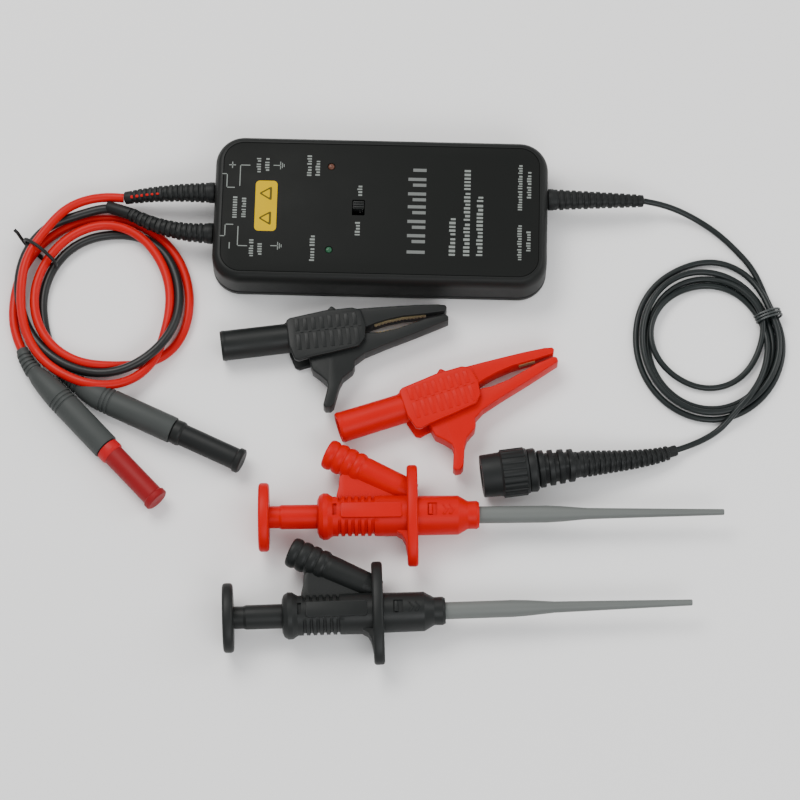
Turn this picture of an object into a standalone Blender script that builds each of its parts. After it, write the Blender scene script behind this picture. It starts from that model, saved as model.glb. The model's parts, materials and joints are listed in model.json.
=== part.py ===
"""High voltage differential probe: probe box, input leads, output cable, clips.

The box lies along X with its output end at +X.  The origin is the middle of
its underside, and everything lies on the plane z = 0.  Lengths are in metres.
"""

import math

import bmesh
import bpy
from mathutils import Matrix, Vector

# ---------------------------------------------------------------- driving sizes
GAP = 0.0003                     # running gap left between neighbouring pieces

BOX_LENGTH = 0.150
BOX_WIDTH = 0.0702
BOX_HEIGHT = 0.021
BOX_CORNER = 0.013
BOX_TOP_EDGE = 0.0036
BOX_BASE_EDGE = 0.0024
WALL = 0.002
SPLIT_Z = 0.005                  # where the two halves of the case meet

FACE_INSET = 0.0040              # border between the face sheet and the case
FACE_CORNER = 0.009
FACE_THICKNESS = 0.0007
FACE_SEAT = 0.001                # depth of the recess that holds the sheet

SWITCH_X = -0.0100
SWITCH_Y = 0.0005
SWITCH_SLOT = (0.0057, 0.0075)
SWITCH_TRAVEL = 0.003
LED_X = -0.0227
LED_Y = 0.0202
LED_RADIUS = 0.0015

BOARD_Z = 0.0058
BOARD_THICKNESS = 0.0016
BOSS_X = 0.060
BOSS_Y = 0.0245
BOSS_RADIUS = 0.003
SCREW_RADIUS = 0.00125

PORT_Z = 0.0120                  # height of the cable ports in the end walls
INPUT_Y = 0.010
OUTPUT_Y = 0.0102
JACK_Y = -0.0140
PORT_RADIUS = 0.0039

LEAD_RADIUS = 0.00195
COAX_RADIUS = 0.00135

LEAD_COIL_CENTRE = (-0.1228, -0.0418)
LEAD_COIL_RADII = (0.0274, 0.0386)
LEAD_COIL_STRETCH = 1.07         # the coil is longer along Y than along X
LEAD_COIL_HEIGHT = 0.0060
COAX_COIL_CENTRE = (0.1485, -0.0515)
COAX_COIL_RADII = (0.0250, 0.0350)
COAX_COIL_STRETCH = 1.12
COAX_COIL_HEIGHT = 0.0050
COIL_REST = 0.0014               # the ties hold the coils this far off the floor
TIE_RADIUS = 0.0005

PLUG_RADIUS = 0.0060
RED_PLUG_FRONT = (-0.1182, -0.1112)
RED_PLUG_ANGLE = -45.6
BLACK_PLUG_FRONT = (-0.0890, -0.1024)
BLACK_PLUG_ANGLE = -24.2
CAP_LENGTH = 0.034
SHROUD_LENGTH = 0.0225
PIN_RADIUS = 0.0020

BNC_MOUTH = (0.0476, -0.1220)
BNC_ANGLE = 9.0
BNC_HEIGHT = 0.0108
BNC_COLLAR_LENGTH = 0.0205

CLIP_HEIGHT = 0.0071             # half the thickness of a clip lying on its side
CLIP_PLACES = {"red": ((-0.0161, -0.0997), 19.5), "black": ((-0.0697, -0.0622), 8.6)}
CLIP_PIVOT = (0.0470, -0.0030)
CLIP_INNER = 0.0045              # half the space between the two cheeks
JAW_HALF = 0.0042

HOOK_HEIGHT = 0.0110
HOOK_PLACES = {"red": ((-0.0498, -0.1434), 2.1), "black": ((-0.0636, -0.1897), 3.4)}
HOOK_LENGTH = 0.2040
SOCKET_TURN = -27.0              # how the hook clip's socket leans to its axis
SOCKET_END = (0.03015, 0.0294)
SOCKET_DEPTH = 0.022
SOCKET_BORE = 0.0043             # takes a shrouded 4 mm plug

TURN_X = (0.0, math.pi / 2, 0.0)         # lays a turned piece along local X
FACE_X = (math.pi / 2, 0.0, math.pi / 2)  # stands a flat outline across local X


# --------------------------------------------------------------------- helpers
def clear_scene():
    for item in list(bpy.data.objects):
        bpy.data.objects.remove(item, do_unlink=True)


def new_collection(name):
    collection = bpy.data.collections.new(name)
    bpy.context.scene.collection.children.link(collection)
    return collection


def new_material(name, colour, roughness, metallic=0.0):
    material = bpy.data.materials.new(name)
    material.use_nodes = True
    shader = material.node_tree.nodes["Principled BSDF"]
    shader.inputs["Base Color"].default_value = (*colour, 1.0)
    shader.inputs["Roughness"].default_value = roughness
    shader.inputs["Metallic"].default_value = metallic
    material.diffuse_color = (*colour, 1.0)
    return material


clear_scene()
PARTS = new_collection("differential_probe")
CUTTERS = new_collection("cutters")

CASE_BLACK = new_material("case_black", (0.014, 0.016, 0.015), 0.55)
FACE_BLACK = new_material("face_black", (0.016, 0.017, 0.016), 0.65)
RUBBER_BLACK = new_material("rubber_black", (0.012, 0.013, 0.013), 0.6)
CLIP_BLACK = new_material("clip_black", (0.013, 0.015, 0.015), 0.5)
CLIP_RED = new_material("clip_red", (0.70, 0.012, 0.008), 0.42)
CAP_RED = new_material("cap_red", (0.42, 0.018, 0.025), 0.45)
LEAD_RED = new_material("lead_red", (0.75, 0.015, 0.01), 0.4)
GRIP_GREY = new_material("grip_grey", (0.075, 0.08, 0.078), 0.5)
STEM_GREY = new_material("stem_grey", (0.16, 0.17, 0.165), 0.5)
COAX_GREY = new_material("coax_grey", (0.02, 0.026, 0.026), 0.45)
NICKEL = new_material("nickel", (0.62, 0.60, 0.56), 0.28, 1.0)
BRASS = new_material("brass", (0.72, 0.52, 0.22), 0.3, 1.0)
STEEL = new_material("steel", (0.5, 0.5, 0.5), 0.35, 1.0)
BOARD_GREEN = new_material("board_green", (0.02, 0.12, 0.05), 0.5)
LED_AMBER = new_material("led_amber", (0.75, 0.40, 0.22), 0.25)
LED_GREEN = new_material("led_green", (0.25, 0.55, 0.36), 0.25)
TIE_PALE = new_material("tie_pale", (0.55, 0.57, 0.57), 0.4)


def place(item, parent=None, at=(0.0, 0.0, 0.0), turn=(0.0, 0.0, 0.0)):
    item.parent = parent
    item.location = at
    item.rotation_euler = turn
    return item


def make_frame(name, spot, height, degrees, parent=None):
    """An empty that carries the pieces of one assembly."""
    empty = bpy.data.objects.new(name, None)
    PARTS.objects.link(empty)
    return place(empty, parent, (*spot, height), (0.0, 0.0, math.radians(degrees)))


def finish(name, data, material, cutter):
    item = bpy.data.objects.new(name, data)
    if cutter:
        CUTTERS.objects.link(item)
        item.hide_render = True
        item.display_type = "WIRE"
    else:
        PARTS.objects.link(item)
    if material:
        data.materials.append(material)
    return item


def from_bmesh(name, bm, material=None, cutter=False):
    mesh = bpy.data.meshes.new(name)
    bmesh.ops.recalc_face_normals(bm, faces=bm.faces)
    bm.to_mesh(mesh)
    bm.free()
    mesh.shade_smooth()
    mesh.set_sharp_from_angle(angle=math.radians(35))
    return finish(name, mesh, material, cutter)


def block(name, size, material=None, cutter=False, corner=0.0, segments=4):
    """A box about its own middle, with its upright edges rounded."""
    bm = bmesh.new()
    bmesh.ops.create_cube(bm, size=1.0)
    bmesh.ops.scale(bm, vec=Vector(size), verts=bm.verts)
    if corner:
        upright = [edge for edge in bm.edges if is_upright(edge)]
        bmesh.ops.bevel(bm, geom=upright, offset=corner, segments=segments, profile=0.5, affect="EDGES")
    return from_bmesh(name, bm, material, cutter)


def is_upright(edge):
    along = edge.verts[0].co - edge.verts[1].co
    return abs(along.z) > 0.99 * along.length


def cylinder(name, radius, length, material=None, cutter=False, segments=20):
    """A cylinder about its own middle, along Z."""
    bm = bmesh.new()
    bmesh.ops.create_cone(bm, cap_ends=True, segments=segments, radius1=radius, radius2=radius, depth=length)
    return from_bmesh(name, bm, material, cutter)


def turned(name, profile, material=None, cutter=False, steps=20, bored=False):
    """A profile of (distance along Z, radius) turned about Z.

    A bored profile is a closed loop clear of the axis.  Any other profile runs
    from one end to the other, and is closed on the axis at both ends.
    """
    points = [(radius, along) for along, radius in profile]
    if not bored:
        points = [(0.0, points[0][1]), *points, (0.0, points[-1][1])]
    following = points[1:] + points[:1]
    area = sum(a[0] * b[1] - b[0] * a[1] for a, b in zip(points, following))
    if area > 0:
        points.reverse()
    edges = [(i, i + 1) for i in range(len(points) - 1)]
    if bored:
        edges.append((len(points) - 1, 0))
    mesh = bpy.data.meshes.new(name)
    mesh.from_pydata([(radius, 0.0, along) for radius, along in points], edges, [])
    item = finish(name, mesh, material, cutter)
    screw = item.modifiers.new("turn", "SCREW")
    screw.axis = "Z"
    screw.angle = 2 * math.pi
    screw.steps = steps
    screw.render_steps = steps
    screw.use_merge_vertices = True
    screw.merge_threshold = 0.000001
    return item


def smooth_route(stations, count):
    """Points spread evenly along a Catmull-Rom curve through the stations."""
    places = [Vector(station) for station in stations]
    before = places[0] * 2 - places[1]
    after = places[-1] * 2 - places[-2]
    places = [before, *places, after]
    fine = []
    for a, b, c, d in zip(places, places[1:], places[2:], places[3:]):
        for step in range(16):
            t = step / 16
            curve = b * 2 + (c - a) * t + (a * 2 - b * 5 + c * 4 - d) * t ** 2
            fine.append((curve + (b * 3 - a - c * 3 + d) * t ** 3) / 2)
    fine.append(places[-2])
    travelled = [0.0]
    for a, b in zip(fine, fine[1:]):
        travelled.append(travelled[-1] + (b - a).length)
    route = []
    index = 0
    for step in range(count):
        wanted = travelled[-1] * step / (count - 1)
        while index < len(fine) - 2 and travelled[index + 1] < wanted:
            index += 1
        share = (wanted - travelled[index]) / (travelled[index + 1] - travelled[index])
        route.append(fine[index].lerp(fine[index + 1], share))
    return route


def tube(name, points, radius, material, resolution=2, radii=None, closed=False):
    """A round tube along the points; radii gives each point its own radius."""
    curve = bpy.data.curves.new(name, "CURVE")
    curve.dimensions = "3D"
    curve.bevel_depth = radius
    curve.bevel_resolution = resolution
    curve.use_fill_caps = not closed
    curve.twist_mode = "MINIMUM"
    spline = curve.splines.new("POLY")
    spline.points.add(len(points) - 1)
    spline.use_cyclic_u = closed
    for index, point in enumerate(points):
        spline.points[index].co = (*point, 1.0)
        if radii:
            spline.points[index].radius = radii[index] / radius
    return finish(name, curve, material, False)


def plate(name, outline, thickness, material=None):
    """A flat outline in local XY, as thick as stated about z = 0."""
    curve = bpy.data.curves.new(name, "CURVE")
    curve.dimensions = "2D"
    curve.fill_mode = "BOTH"
    curve.extrude = thickness / 2
    spline = curve.splines.new("POLY")
    spline.points.add(len(outline) - 1)
    spline.use_cyclic_u = True
    for index, (x, y) in enumerate(outline):
        spline.points[index].co = (x, y, 0.0, 1.0)
    return finish(name, curve, material, False)


def as_mesh(item, cutter=False):
    """Replaces a curve by a mesh, so that it can be cut or joined."""
    bpy.context.view_layer.update()
    seen = item.evaluated_get(bpy.context.evaluated_depsgraph_get())
    mesh = bpy.data.meshes.new_from_object(seen)
    bm = bmesh.new()
    bm.from_mesh(mesh)
    bmesh.ops.remove_doubles(bm, verts=bm.verts, dist=0.000001)
    bm.to_mesh(mesh)
    bm.free()
    name = item.name
    matrix = item.matrix_world.copy()
    bpy.data.objects.remove(item, do_unlink=True)
    solid = finish(name, mesh, None, cutter)
    solid.matrix_world = matrix
    return solid


def combine(item, other, operation):
    modifier = item.modifiers.new(operation.lower() + "_" + other.name, "BOOLEAN")
    modifier.operation = operation
    modifier.object = other
    modifier.solver = "EXACT"


def cut(item, *cutters):
    for cutter in cutters:
        combine(item, cutter, "DIFFERENCE")


def join(item, *others):
    for other in others:
        combine(item, other, "UNION")


def oval(half_width, half_height, count=24):
    angles = [2 * math.pi * step / count for step in range(count)]
    return [(half_width * math.cos(a), half_height * math.sin(a)) for a in angles]


def helix(radius, pitch, turns, start, per_turn=10):
    """Points of a coil spring about Z."""
    points = []
    for step in range(int(turns * per_turn) + 1):
        angle = 2 * math.pi * step / per_turn
        height = start + pitch * step / per_turn
        points.append((radius * math.cos(angle), radius * math.sin(angle), height))
    return points


# ------------------------------------------------------------------- probe box
def case_half(name, low, high, edge, keep_top):
    """A tray with rounded corners: the open side is the split between halves."""
    bm = bmesh.new()
    bmesh.ops.create_cube(bm, size=1.0)
    bmesh.ops.scale(bm, vec=(BOX_LENGTH, BOX_WIDTH, high - low), verts=bm.verts)
    bmesh.ops.translate(bm, vec=(0.0, 0.0, (low + high) / 2), verts=bm.verts)
    upright = [item for item in bm.edges if is_upright(item)]
    bmesh.ops.bevel(bm, geom=upright, offset=BOX_CORNER, segments=5, profile=0.5, affect="EDGES")
    closed_z = high if keep_top else low
    rim = [item for item in bm.edges if all(abs(v.co.z - closed_z) < 0.00001 for v in item.verts)]
    bmesh.ops.bevel(bm, geom=rim, offset=edge, segments=2, profile=0.5, affect="EDGES")
    open_z = low if keep_top else high
    mouth = [face for face in bm.faces if all(abs(v.co.z - open_z) < 0.00001 for v in face.verts)]
    bmesh.ops.delete(bm, geom=mouth, context="FACES_ONLY")
    half = from_bmesh(name, bm, CASE_BLACK)
    shell = half.modifiers.new("wall", "SOLIDIFY")
    shell.thickness = WALL
    shell.offset = -1.0
    shell.use_even_offset = True
    return half


def boss_spots():
    return [(x, y) for x in (-BOSS_X, BOSS_X) for y in (-BOSS_Y, BOSS_Y)]


def led_spots():
    return {"over_range_led": (LED_X, LED_Y), "power_led": (LED_X, -LED_Y)}


def face_openings(prefix):
    """Cutters for the two lamps and the switch, through the top of the case."""
    cutters = []
    for name, (x, y) in led_spots().items():
        hole = cylinder(f"{prefix}_{name}_hole", LED_RADIUS + GAP, 0.008, cutter=True, segments=12)
        cutters.append(place(hole, at=(x, y, BOX_HEIGHT)))
    slot = block(f"{prefix}_switch_slot", (*SWITCH_SLOT, 0.008), cutter=True)
    cutters.append(place(slot, at=(SWITCH_X, SWITCH_Y, BOX_HEIGHT)))
    return cutters


def top_shell():
    shell = case_half("top_shell", SPLIT_Z, BOX_HEIGHT, BOX_TOP_EDGE, True)
    seat_size = (BOX_LENGTH - 2 * FACE_INSET + 2 * GAP, BOX_WIDTH - 2 * FACE_INSET + 2 * GAP, 2 * FACE_SEAT)
    seat = block("face_seat", seat_size, cutter=True, corner=FACE_CORNER + GAP, segments=5)
    place(seat, at=(0.0, 0.0, BOX_HEIGHT))
    low = BOARD_Z + BOARD_THICKNESS + GAP
    high = BOX_HEIGHT - WALL + 0.0005
    for index, (x, y) in enumerate(boss_spots()):
        boss = cylinder(f"top_boss_{index}", BOSS_RADIUS, high - low, cutter=True, segments=10)
        place(boss, at=(x, y, (low + high) / 2))
        pilot = cylinder(f"top_pilot_{index}", SCREW_RADIUS + GAP, 0.010, cutter=True, segments=10)
        place(pilot, at=(x, y, low + 0.003))
        join(shell, boss)
        cut(shell, pilot)
    cut(shell, seat, *face_openings("shell"))
    for index, (x, y) in enumerate([(-1, INPUT_Y), (-1, -INPUT_Y), (1, OUTPUT_Y)]):
        port = cylinder(f"cable_port_{index}", PORT_RADIUS, 0.008, cutter=True, segments=16)
        cut(shell, place(port, at=(x * BOX_LENGTH / 2, y, PORT_Z), turn=TURN_X))
    jack_port = cylinder("jack_port", 0.0042 + GAP, 0.008, cutter=True, segments=16)
    cut(shell, place(jack_port, at=(BOX_LENGTH / 2, JACK_Y, PORT_Z), turn=TURN_X))


def bottom_shell():
    shell = case_half("bottom_shell", 0.0, SPLIT_Z - GAP, BOX_BASE_EDGE, False)
    low = WALL - 0.0005
    high = BOARD_Z - GAP
    for index, (x, y) in enumerate(boss_spots()):
        boss = cylinder(f"bottom_boss_{index}", BOSS_RADIUS, high - low, cutter=True, segments=10)
        join(shell, place(boss, at=(x, y, (low + high) / 2)))
        well = turned(f"screw_well_{index}",
                      [(0.010, 0.00155), (0.0016, 0.00155), (0.0016, 0.0026), (-0.001, 0.0026)],
                      cutter=True, steps=10)
        cut(shell, place(well, at=(x, y, 0.0)))


def case_screws():
    profile = [(0.0120, 0.0008), (0.0115, SCREW_RADIUS), (0.0013, SCREW_RADIUS), (0.0012, 0.0022),
               (0.0004, 0.0022)]
    for index, (x, y) in enumerate(boss_spots(), start=1):
        place(turned(f"case_screw_{index}", profile, STEEL, steps=8), at=(x, y, 0.0))


def face_sheet():
    size = (BOX_LENGTH - 2 * FACE_INSET, BOX_WIDTH - 2 * FACE_INSET, FACE_THICKNESS)
    sheet = block("face_sheet", size, FACE_BLACK, corner=FACE_CORNER, segments=5)
    place(sheet, at=(0.0, 0.0, BOX_HEIGHT - FACE_THICKNESS / 2))
    cut(sheet, *face_openings("sheet"))


def circuit_board():
    board = block("circuit_board", (0.138, 0.060, BOARD_THICKNESS), BOARD_GREEN, corner=0.009, segments=3)
    place(board, at=(0.0, 0.0, BOARD_Z + BOARD_THICKNESS / 2))
    for index, (x, y) in enumerate(boss_spots()):
        hole = cylinder(f"board_hole_{index}", 0.0017, 0.004, cutter=True, segments=12)
        cut(board, place(hole, at=(x, y, BOARD_Z)))


def shield_can():
    """The open-bottomed screen over the input divider."""
    size = (0.030, 0.044, 0.0085)
    low = BOARD_Z + BOARD_THICKNESS + GAP
    can = block("shield_can", size, STEEL)
    place(can, at=(-0.041, 0.0, low + size[2] / 2))
    inside = block("shield_inside", (size[0] - 0.001, size[1] - 0.001, size[2]), cutter=True)
    cut(can, place(inside, at=(-0.041, 0.0, low + size[2] / 2 - 0.0005)))


def range_switch():
    low = BOARD_Z + BOARD_THICKNESS + GAP
    body_height = 0.0086
    body = block("range_switch_body", (0.0086, 0.0126, body_height), STEEL)
    place(body, at=(SWITCH_X, SWITCH_Y, low + body_height / 2))
    pocket = block("switch_pocket", (0.0066, 0.0106, body_height), cutter=True)
    cut(body, place(pocket, at=(SWITCH_X, SWITCH_Y, low + body_height / 2 + 0.0028)))
    slider_y = SWITCH_Y + SWITCH_TRAVEL / 2
    base_z = low + 0.0028 + GAP
    slider = block("range_switch_slider", (0.0058, 0.0066, 0.0022), CLIP_BLACK)
    place(slider, at=(SWITCH_X, slider_y, base_z + 0.0011))
    knob_height = BOX_HEIGHT - base_z - 0.0005
    knob = block("switch_knob", (0.0050, 0.0038, knob_height), cutter=True)
    join(slider, place(knob, at=(SWITCH_X, slider_y, base_z + 0.0005 + knob_height / 2)))


def lamps():
    low = BOARD_Z + BOARD_THICKNESS + GAP
    dome = [(BOX_HEIGHT + 0.0006, 0.0006), (BOX_HEIGHT + 0.0003, 0.0011), (BOX_HEIGHT - 0.0003, LED_RADIUS)]
    stem = [(0.0160, LED_RADIUS), (0.0160, 0.0019), (low, 0.0019)]
    colours = {"over_range_led": LED_AMBER, "power_led": LED_GREEN}
    for name, (x, y) in led_spots().items():
        place(turned(name, dome + stem, colours[name], steps=14), at=(x, y, 0.0))


def power_jack():
    low = BOARD_Z + BOARD_THICKNESS + GAP
    back = 0.0600
    front = BOX_LENGTH / 2 - WALL - GAP
    jack = block("dc_jack", (front - back, 0.0092, 0.0096), CASE_BLACK)
    place(jack, at=((front + back) / 2, JACK_Y, low + 0.0048))
    collar = cylinder("jack_collar", 0.0042, 0.006, cutter=True)
    join(jack, place(collar, at=(BOX_LENGTH / 2 - 0.0033, JACK_Y, PORT_Z), turn=TURN_X))
    bore = turned("jack_bore", [(0.004, 0.0029), (-0.0095, 0.0029), (-0.0095, 0.0010), (-0.0015, 0.0010),
                                (-0.0010, 0.0004), (0.004, 0.0004)], cutter=True, steps=16, bored=True)
    cut(jack, place(bore, at=(BOX_LENGTH / 2, JACK_Y, PORT_Z), turn=TURN_X))


# ---------------------------------------------------------------- cable exits
def strain_relief(name, route, out, rise, end_radius):
    """A rubber sleeve: a lip inside the wall, a neck through it, then a taper."""
    wall_x = BOX_LENGTH / 2 * out
    inner_x = wall_x - WALL * out
    y = route[0][1]
    lip = [(inner_x - 0.0018 * out, 0.0048), (inner_x - (GAP + 0.0001) * out, 0.0048)]
    neck = [(inner_x - GAP * out, 0.0035), (wall_x + (GAP - 0.0001) * out, 0.0035)]
    points = [(x, y, PORT_Z) for x, radius in lip + neck]
    radii = [radius for x, radius in lip + neck]
    sleeve = smooth_route(route, 9)
    for index, point in enumerate(sleeve):
        share = index / (len(sleeve) - 1)
        points.append(point)
        radii.append(rise + (end_radius - rise) * share)
    tube(name, points, 0.004, RUBBER_BLACK, resolution=3, radii=radii)


RED_RELIEF_ROUTE = [(-0.0753, 0.0100, 0.0120), (-0.0890, 0.0098, 0.0116), (-0.1030, 0.0092, 0.0102),
                    (-0.1160, 0.0082, 0.0076)]
BLACK_RELIEF_ROUTE = [(-0.0753, -0.0100, 0.0120), (-0.0880, -0.0094, 0.0120), (-0.0994, -0.0067, 0.0113),
                      (-0.1086, -0.0025, 0.0096), (-0.1170, 0.0027, 0.0074)]
OUTPUT_RELIEF_ROUTE = [(0.0753, 0.0102, 0.0120), (0.0900, 0.0106, 0.0116), (0.1050, 0.0112, 0.0106),
                       (0.1184, 0.0118, 0.0092)]

RED_LEAD_START = [(-0.1166, 0.0083, 0.0073), (-0.1220, 0.0090, 0.0066), (-0.1290, 0.0084, 0.0066),
                  (-0.1370, 0.0054, 0.0080), (-0.1450, -0.0006, 0.0094), (-0.1510, -0.0072, 0.0096),
                  (-0.1550, -0.0134, 0.0092)]
RED_LEAD_END = [(-0.1638, -0.0400, 0.0034), (-0.1641, -0.0470, 0.0030), (-0.1634, -0.0540, 0.0028),
                (-0.1612, -0.0602, 0.0028), (-0.15903, -0.06433, 0.0029)]
BLACK_LEAD_START = [(-0.1175, 0.0030, 0.0072), (-0.1220, 0.0042, 0.0064), (-0.1275, 0.0036, 0.0059),
                    (-0.1320, 0.0020, 0.0058), (-0.1360, 0.0002, 0.0058)]
BLACK_LEAD_END = [(-0.14170, -0.07278, 0.0029), (-0.1444, -0.0688, 0.0029), (-0.1462, -0.0642, 0.0029)]
COAX_START = [(0.1187, 0.0118, 0.0092), (0.1270, 0.0112, 0.0074), (0.1360, 0.0090, 0.0046),
              (0.1450, 0.0050, 0.0022), (0.1535, -0.0008, 0.0016), (0.1620, -0.0096, 0.0016),
              (0.1690, -0.0180, 0.0016)]
COAX_END = [(0.1560, -0.0920, 0.0016), (0.1520, -0.0956, 0.0016), (0.1450, -0.1000, 0.0020),
            (0.1386, -0.1032, 0.0028), (0.1340, -0.1050, 0.0035)]


def cable_exits():
    strain_relief("red_strain_relief", RED_RELIEF_ROUTE, -1, 0.0047, 0.0028)
    strain_relief("black_strain_relief", BLACK_RELIEF_ROUTE, -1, 0.0047, 0.0028)
    strain_relief("output_strain_relief", OUTPUT_RELIEF_ROUTE, 1, 0.0049, 0.0027)


def lead_lengths():
    tube("red_lead_start", smooth_route(RED_LEAD_START, 9), LEAD_RADIUS, LEAD_RED)
    tube("red_lead_end", smooth_route(RED_LEAD_END, 6), LEAD_RADIUS, LEAD_RED)
    tube("black_lead_start", smooth_route(BLACK_LEAD_START, 6), LEAD_RADIUS, RUBBER_BLACK)
    tube("black_lead_end", smooth_route(BLACK_LEAD_END, 4), LEAD_RADIUS, RUBBER_BLACK)
    tube("coax_start", smooth_route(COAX_START, 12), COAX_RADIUS, COAX_GREY)
    tube("coax_end", smooth_route(COAX_END, 6), COAX_RADIUS, COAX_GREY)


# ---------------------------------------------------------------- coils, ties
def coil(name, centre, radii, stretch, height, material):
    """The outer shape of a coil of cable: a ring of oval section."""
    middle = (radii[0] + radii[1]) / 2
    half = (radii[1] - radii[0]) / 2
    profile = [(height / 2 * (1 + math.sin(a)), middle + half * math.cos(a))
               for a in (2 * math.pi * step / 8 for step in range(8))]
    ring = turned(name, profile, material, steps=32, bored=True)
    place(ring, at=(*centre, COIL_REST))
    ring.scale = (1.0, stretch, 1.0)
    return ring


def tie(name, centre, radii, stretch, height, degrees, material):
    """A wire twisted round the coil, in the plane that cuts it at the angle."""
    angle = math.radians(degrees)
    outward = Vector((math.cos(angle), stretch * math.sin(angle), 0.0))
    middle = (radii[0] + radii[1]) / 2 * outward.length
    half = (radii[1] - radii[0]) / 2 * outward.length + GAP + TIE_RADIUS + 0.0001
    rise = height / 2 + GAP + TIE_RADIUS
    points = []
    for a in (2 * math.pi * step / 20 for step in range(20)):
        reach = middle + half * math.cos(a)
        spot = Vector((*centre, COIL_REST + height / 2)) + outward.normalized() * reach
        points.append(spot + Vector((0.0, 0.0, rise * math.sin(a))))
    tube(name, points, TIE_RADIUS, material, resolution=1, closed=True)


def coils():
    lead_coil = coil("lead_coil", LEAD_COIL_CENTRE, LEAD_COIL_RADII, LEAD_COIL_STRETCH, LEAD_COIL_HEIGHT,
                     LEAD_RED)
    tie("lead_tie", LEAD_COIL_CENTRE, LEAD_COIL_RADII, LEAD_COIL_STRETCH, LEAD_COIL_HEIGHT, 143, RUBBER_BLACK)
    coil("coax_coil", COAX_COIL_CENTRE, COAX_COIL_RADII, COAX_COIL_STRETCH, COAX_COIL_HEIGHT, COAX_GREY)
    tie("coax_tie", COAX_COIL_CENTRE, COAX_COIL_RADII, COAX_COIL_STRETCH, COAX_COIL_HEIGHT, 20, TIE_PALE)
    notch_radii = [radius + 2 * GAP for radius in BLACK_GRIP_RADII]
    notch = tube("plug_notch", BLACK_GRIP_ROUTE, 0.004, None, resolution=3, radii=notch_radii)
    cut(lead_coil, as_mesh(notch, cutter=True))
    lead_route = smooth_route([(-0.1404, -0.0742, 0.0029), *BLACK_LEAD_END, (-0.1470, -0.0618, 0.0029)], 6)
    lead_notch = tube("lead_notch", lead_route, LEAD_RADIUS + 2 * GAP, None)
    cut(lead_coil, as_mesh(lead_notch, cutter=True))


# --------------------------------------------------------------- banana plugs
RED_GRIP_ROUTE = [(-0.1589, -0.0646, 0.0029), (-0.1562, -0.0703, 0.0033), (-0.1527, -0.0752, 0.0040),
                  (-0.1476, -0.0810, 0.0052), (-0.1412, -0.0877, 0.0060), (-0.1182, -0.1112, 0.0060)]
BLACK_GRIP_ROUTE = [(-0.1415, -0.0730, 0.0029), (-0.1384, -0.0764, 0.0032), (-0.1342, -0.0797, 0.0038),
                    (-0.1286, -0.0834, 0.0049), (-0.1221, -0.0875, 0.0060), (-0.0890, -0.1024, 0.0060)]
RED_GRIP_RADII = [0.0028, 0.0032, 0.0040, 0.0052, 0.0060, 0.0060]
BLACK_GRIP_RADII = [0.0026, 0.0030, 0.0036, 0.0048, 0.0060, 0.0060]


def banana_plug(colour, front, degrees, route, radii, cap_material):
    """A plug: bent grip, insulating shroud, pin, and the cap pushed over them."""
    axis = make_frame(f"{colour}_plug_axis", front, PLUG_RADIUS, degrees)
    grip = as_mesh(tube(f"{colour}_plug_grip", route, 0.004, GRIP_GREY, resolution=4, radii=radii))
    bore = cylinder(f"{colour}_grip_bore", 0.0038 + GAP, 0.022, cutter=True, segments=16)
    cut(grip, place(bore, axis, turn=TURN_X))
    shroud_profile = [(SHROUD_LENGTH, 0.0038), (-0.0104, 0.0038), (-0.0104, PIN_RADIUS + GAP),
                      (0.0030, PIN_RADIUS + GAP), (0.0030, 0.0031), (SHROUD_LENGTH, 0.0031)]
    shroud_material = CLIP_BLACK if colour == "black" else CAP_RED
    shroud = turned(f"{colour}_plug_shroud", shroud_profile, shroud_material, steps=16, bored=True)
    place(shroud, axis, turn=TURN_X)
    pin_profile = [(0.0205, 0.0012), (0.0195, PIN_RADIUS - 0.0002), (0.0120, PIN_RADIUS + 0.0001),
                   (0.0040, PIN_RADIUS - 0.0002), (-0.0102, PIN_RADIUS - 0.0002)]
    pin = turned(f"{colour}_plug_pin", pin_profile, NICKEL, steps=12)
    place(pin, axis, turn=TURN_X)
    outer = [(CAP_LENGTH, 0.0045), (CAP_LENGTH - 0.0008, 0.0056), (CAP_LENGTH - 0.0022, 0.0056),
             (CAP_LENGTH - 0.0028, 0.0049), (0.0060, 0.0049), (0.0048, 0.0056), (GAP, 0.0056)]
    inner = [(GAP, 0.0041), (CAP_LENGTH - 0.0025, 0.0041)]
    cap = turned(f"{colour}_cap", outer + inner + [(CAP_LENGTH - 0.0025, 0.0), (CAP_LENGTH, 0.0)],
                 cap_material, steps=20, bored=True)
    place(cap, axis, turn=TURN_X)


def banana_plugs():
    banana_plug("red", RED_PLUG_FRONT, RED_PLUG_ANGLE, RED_GRIP_ROUTE, RED_GRIP_RADII, CAP_RED)
    banana_plug("black", BLACK_PLUG_FRONT, BLACK_PLUG_ANGLE, BLACK_GRIP_ROUTE, BLACK_GRIP_RADII, RUBBER_BLACK)


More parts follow.
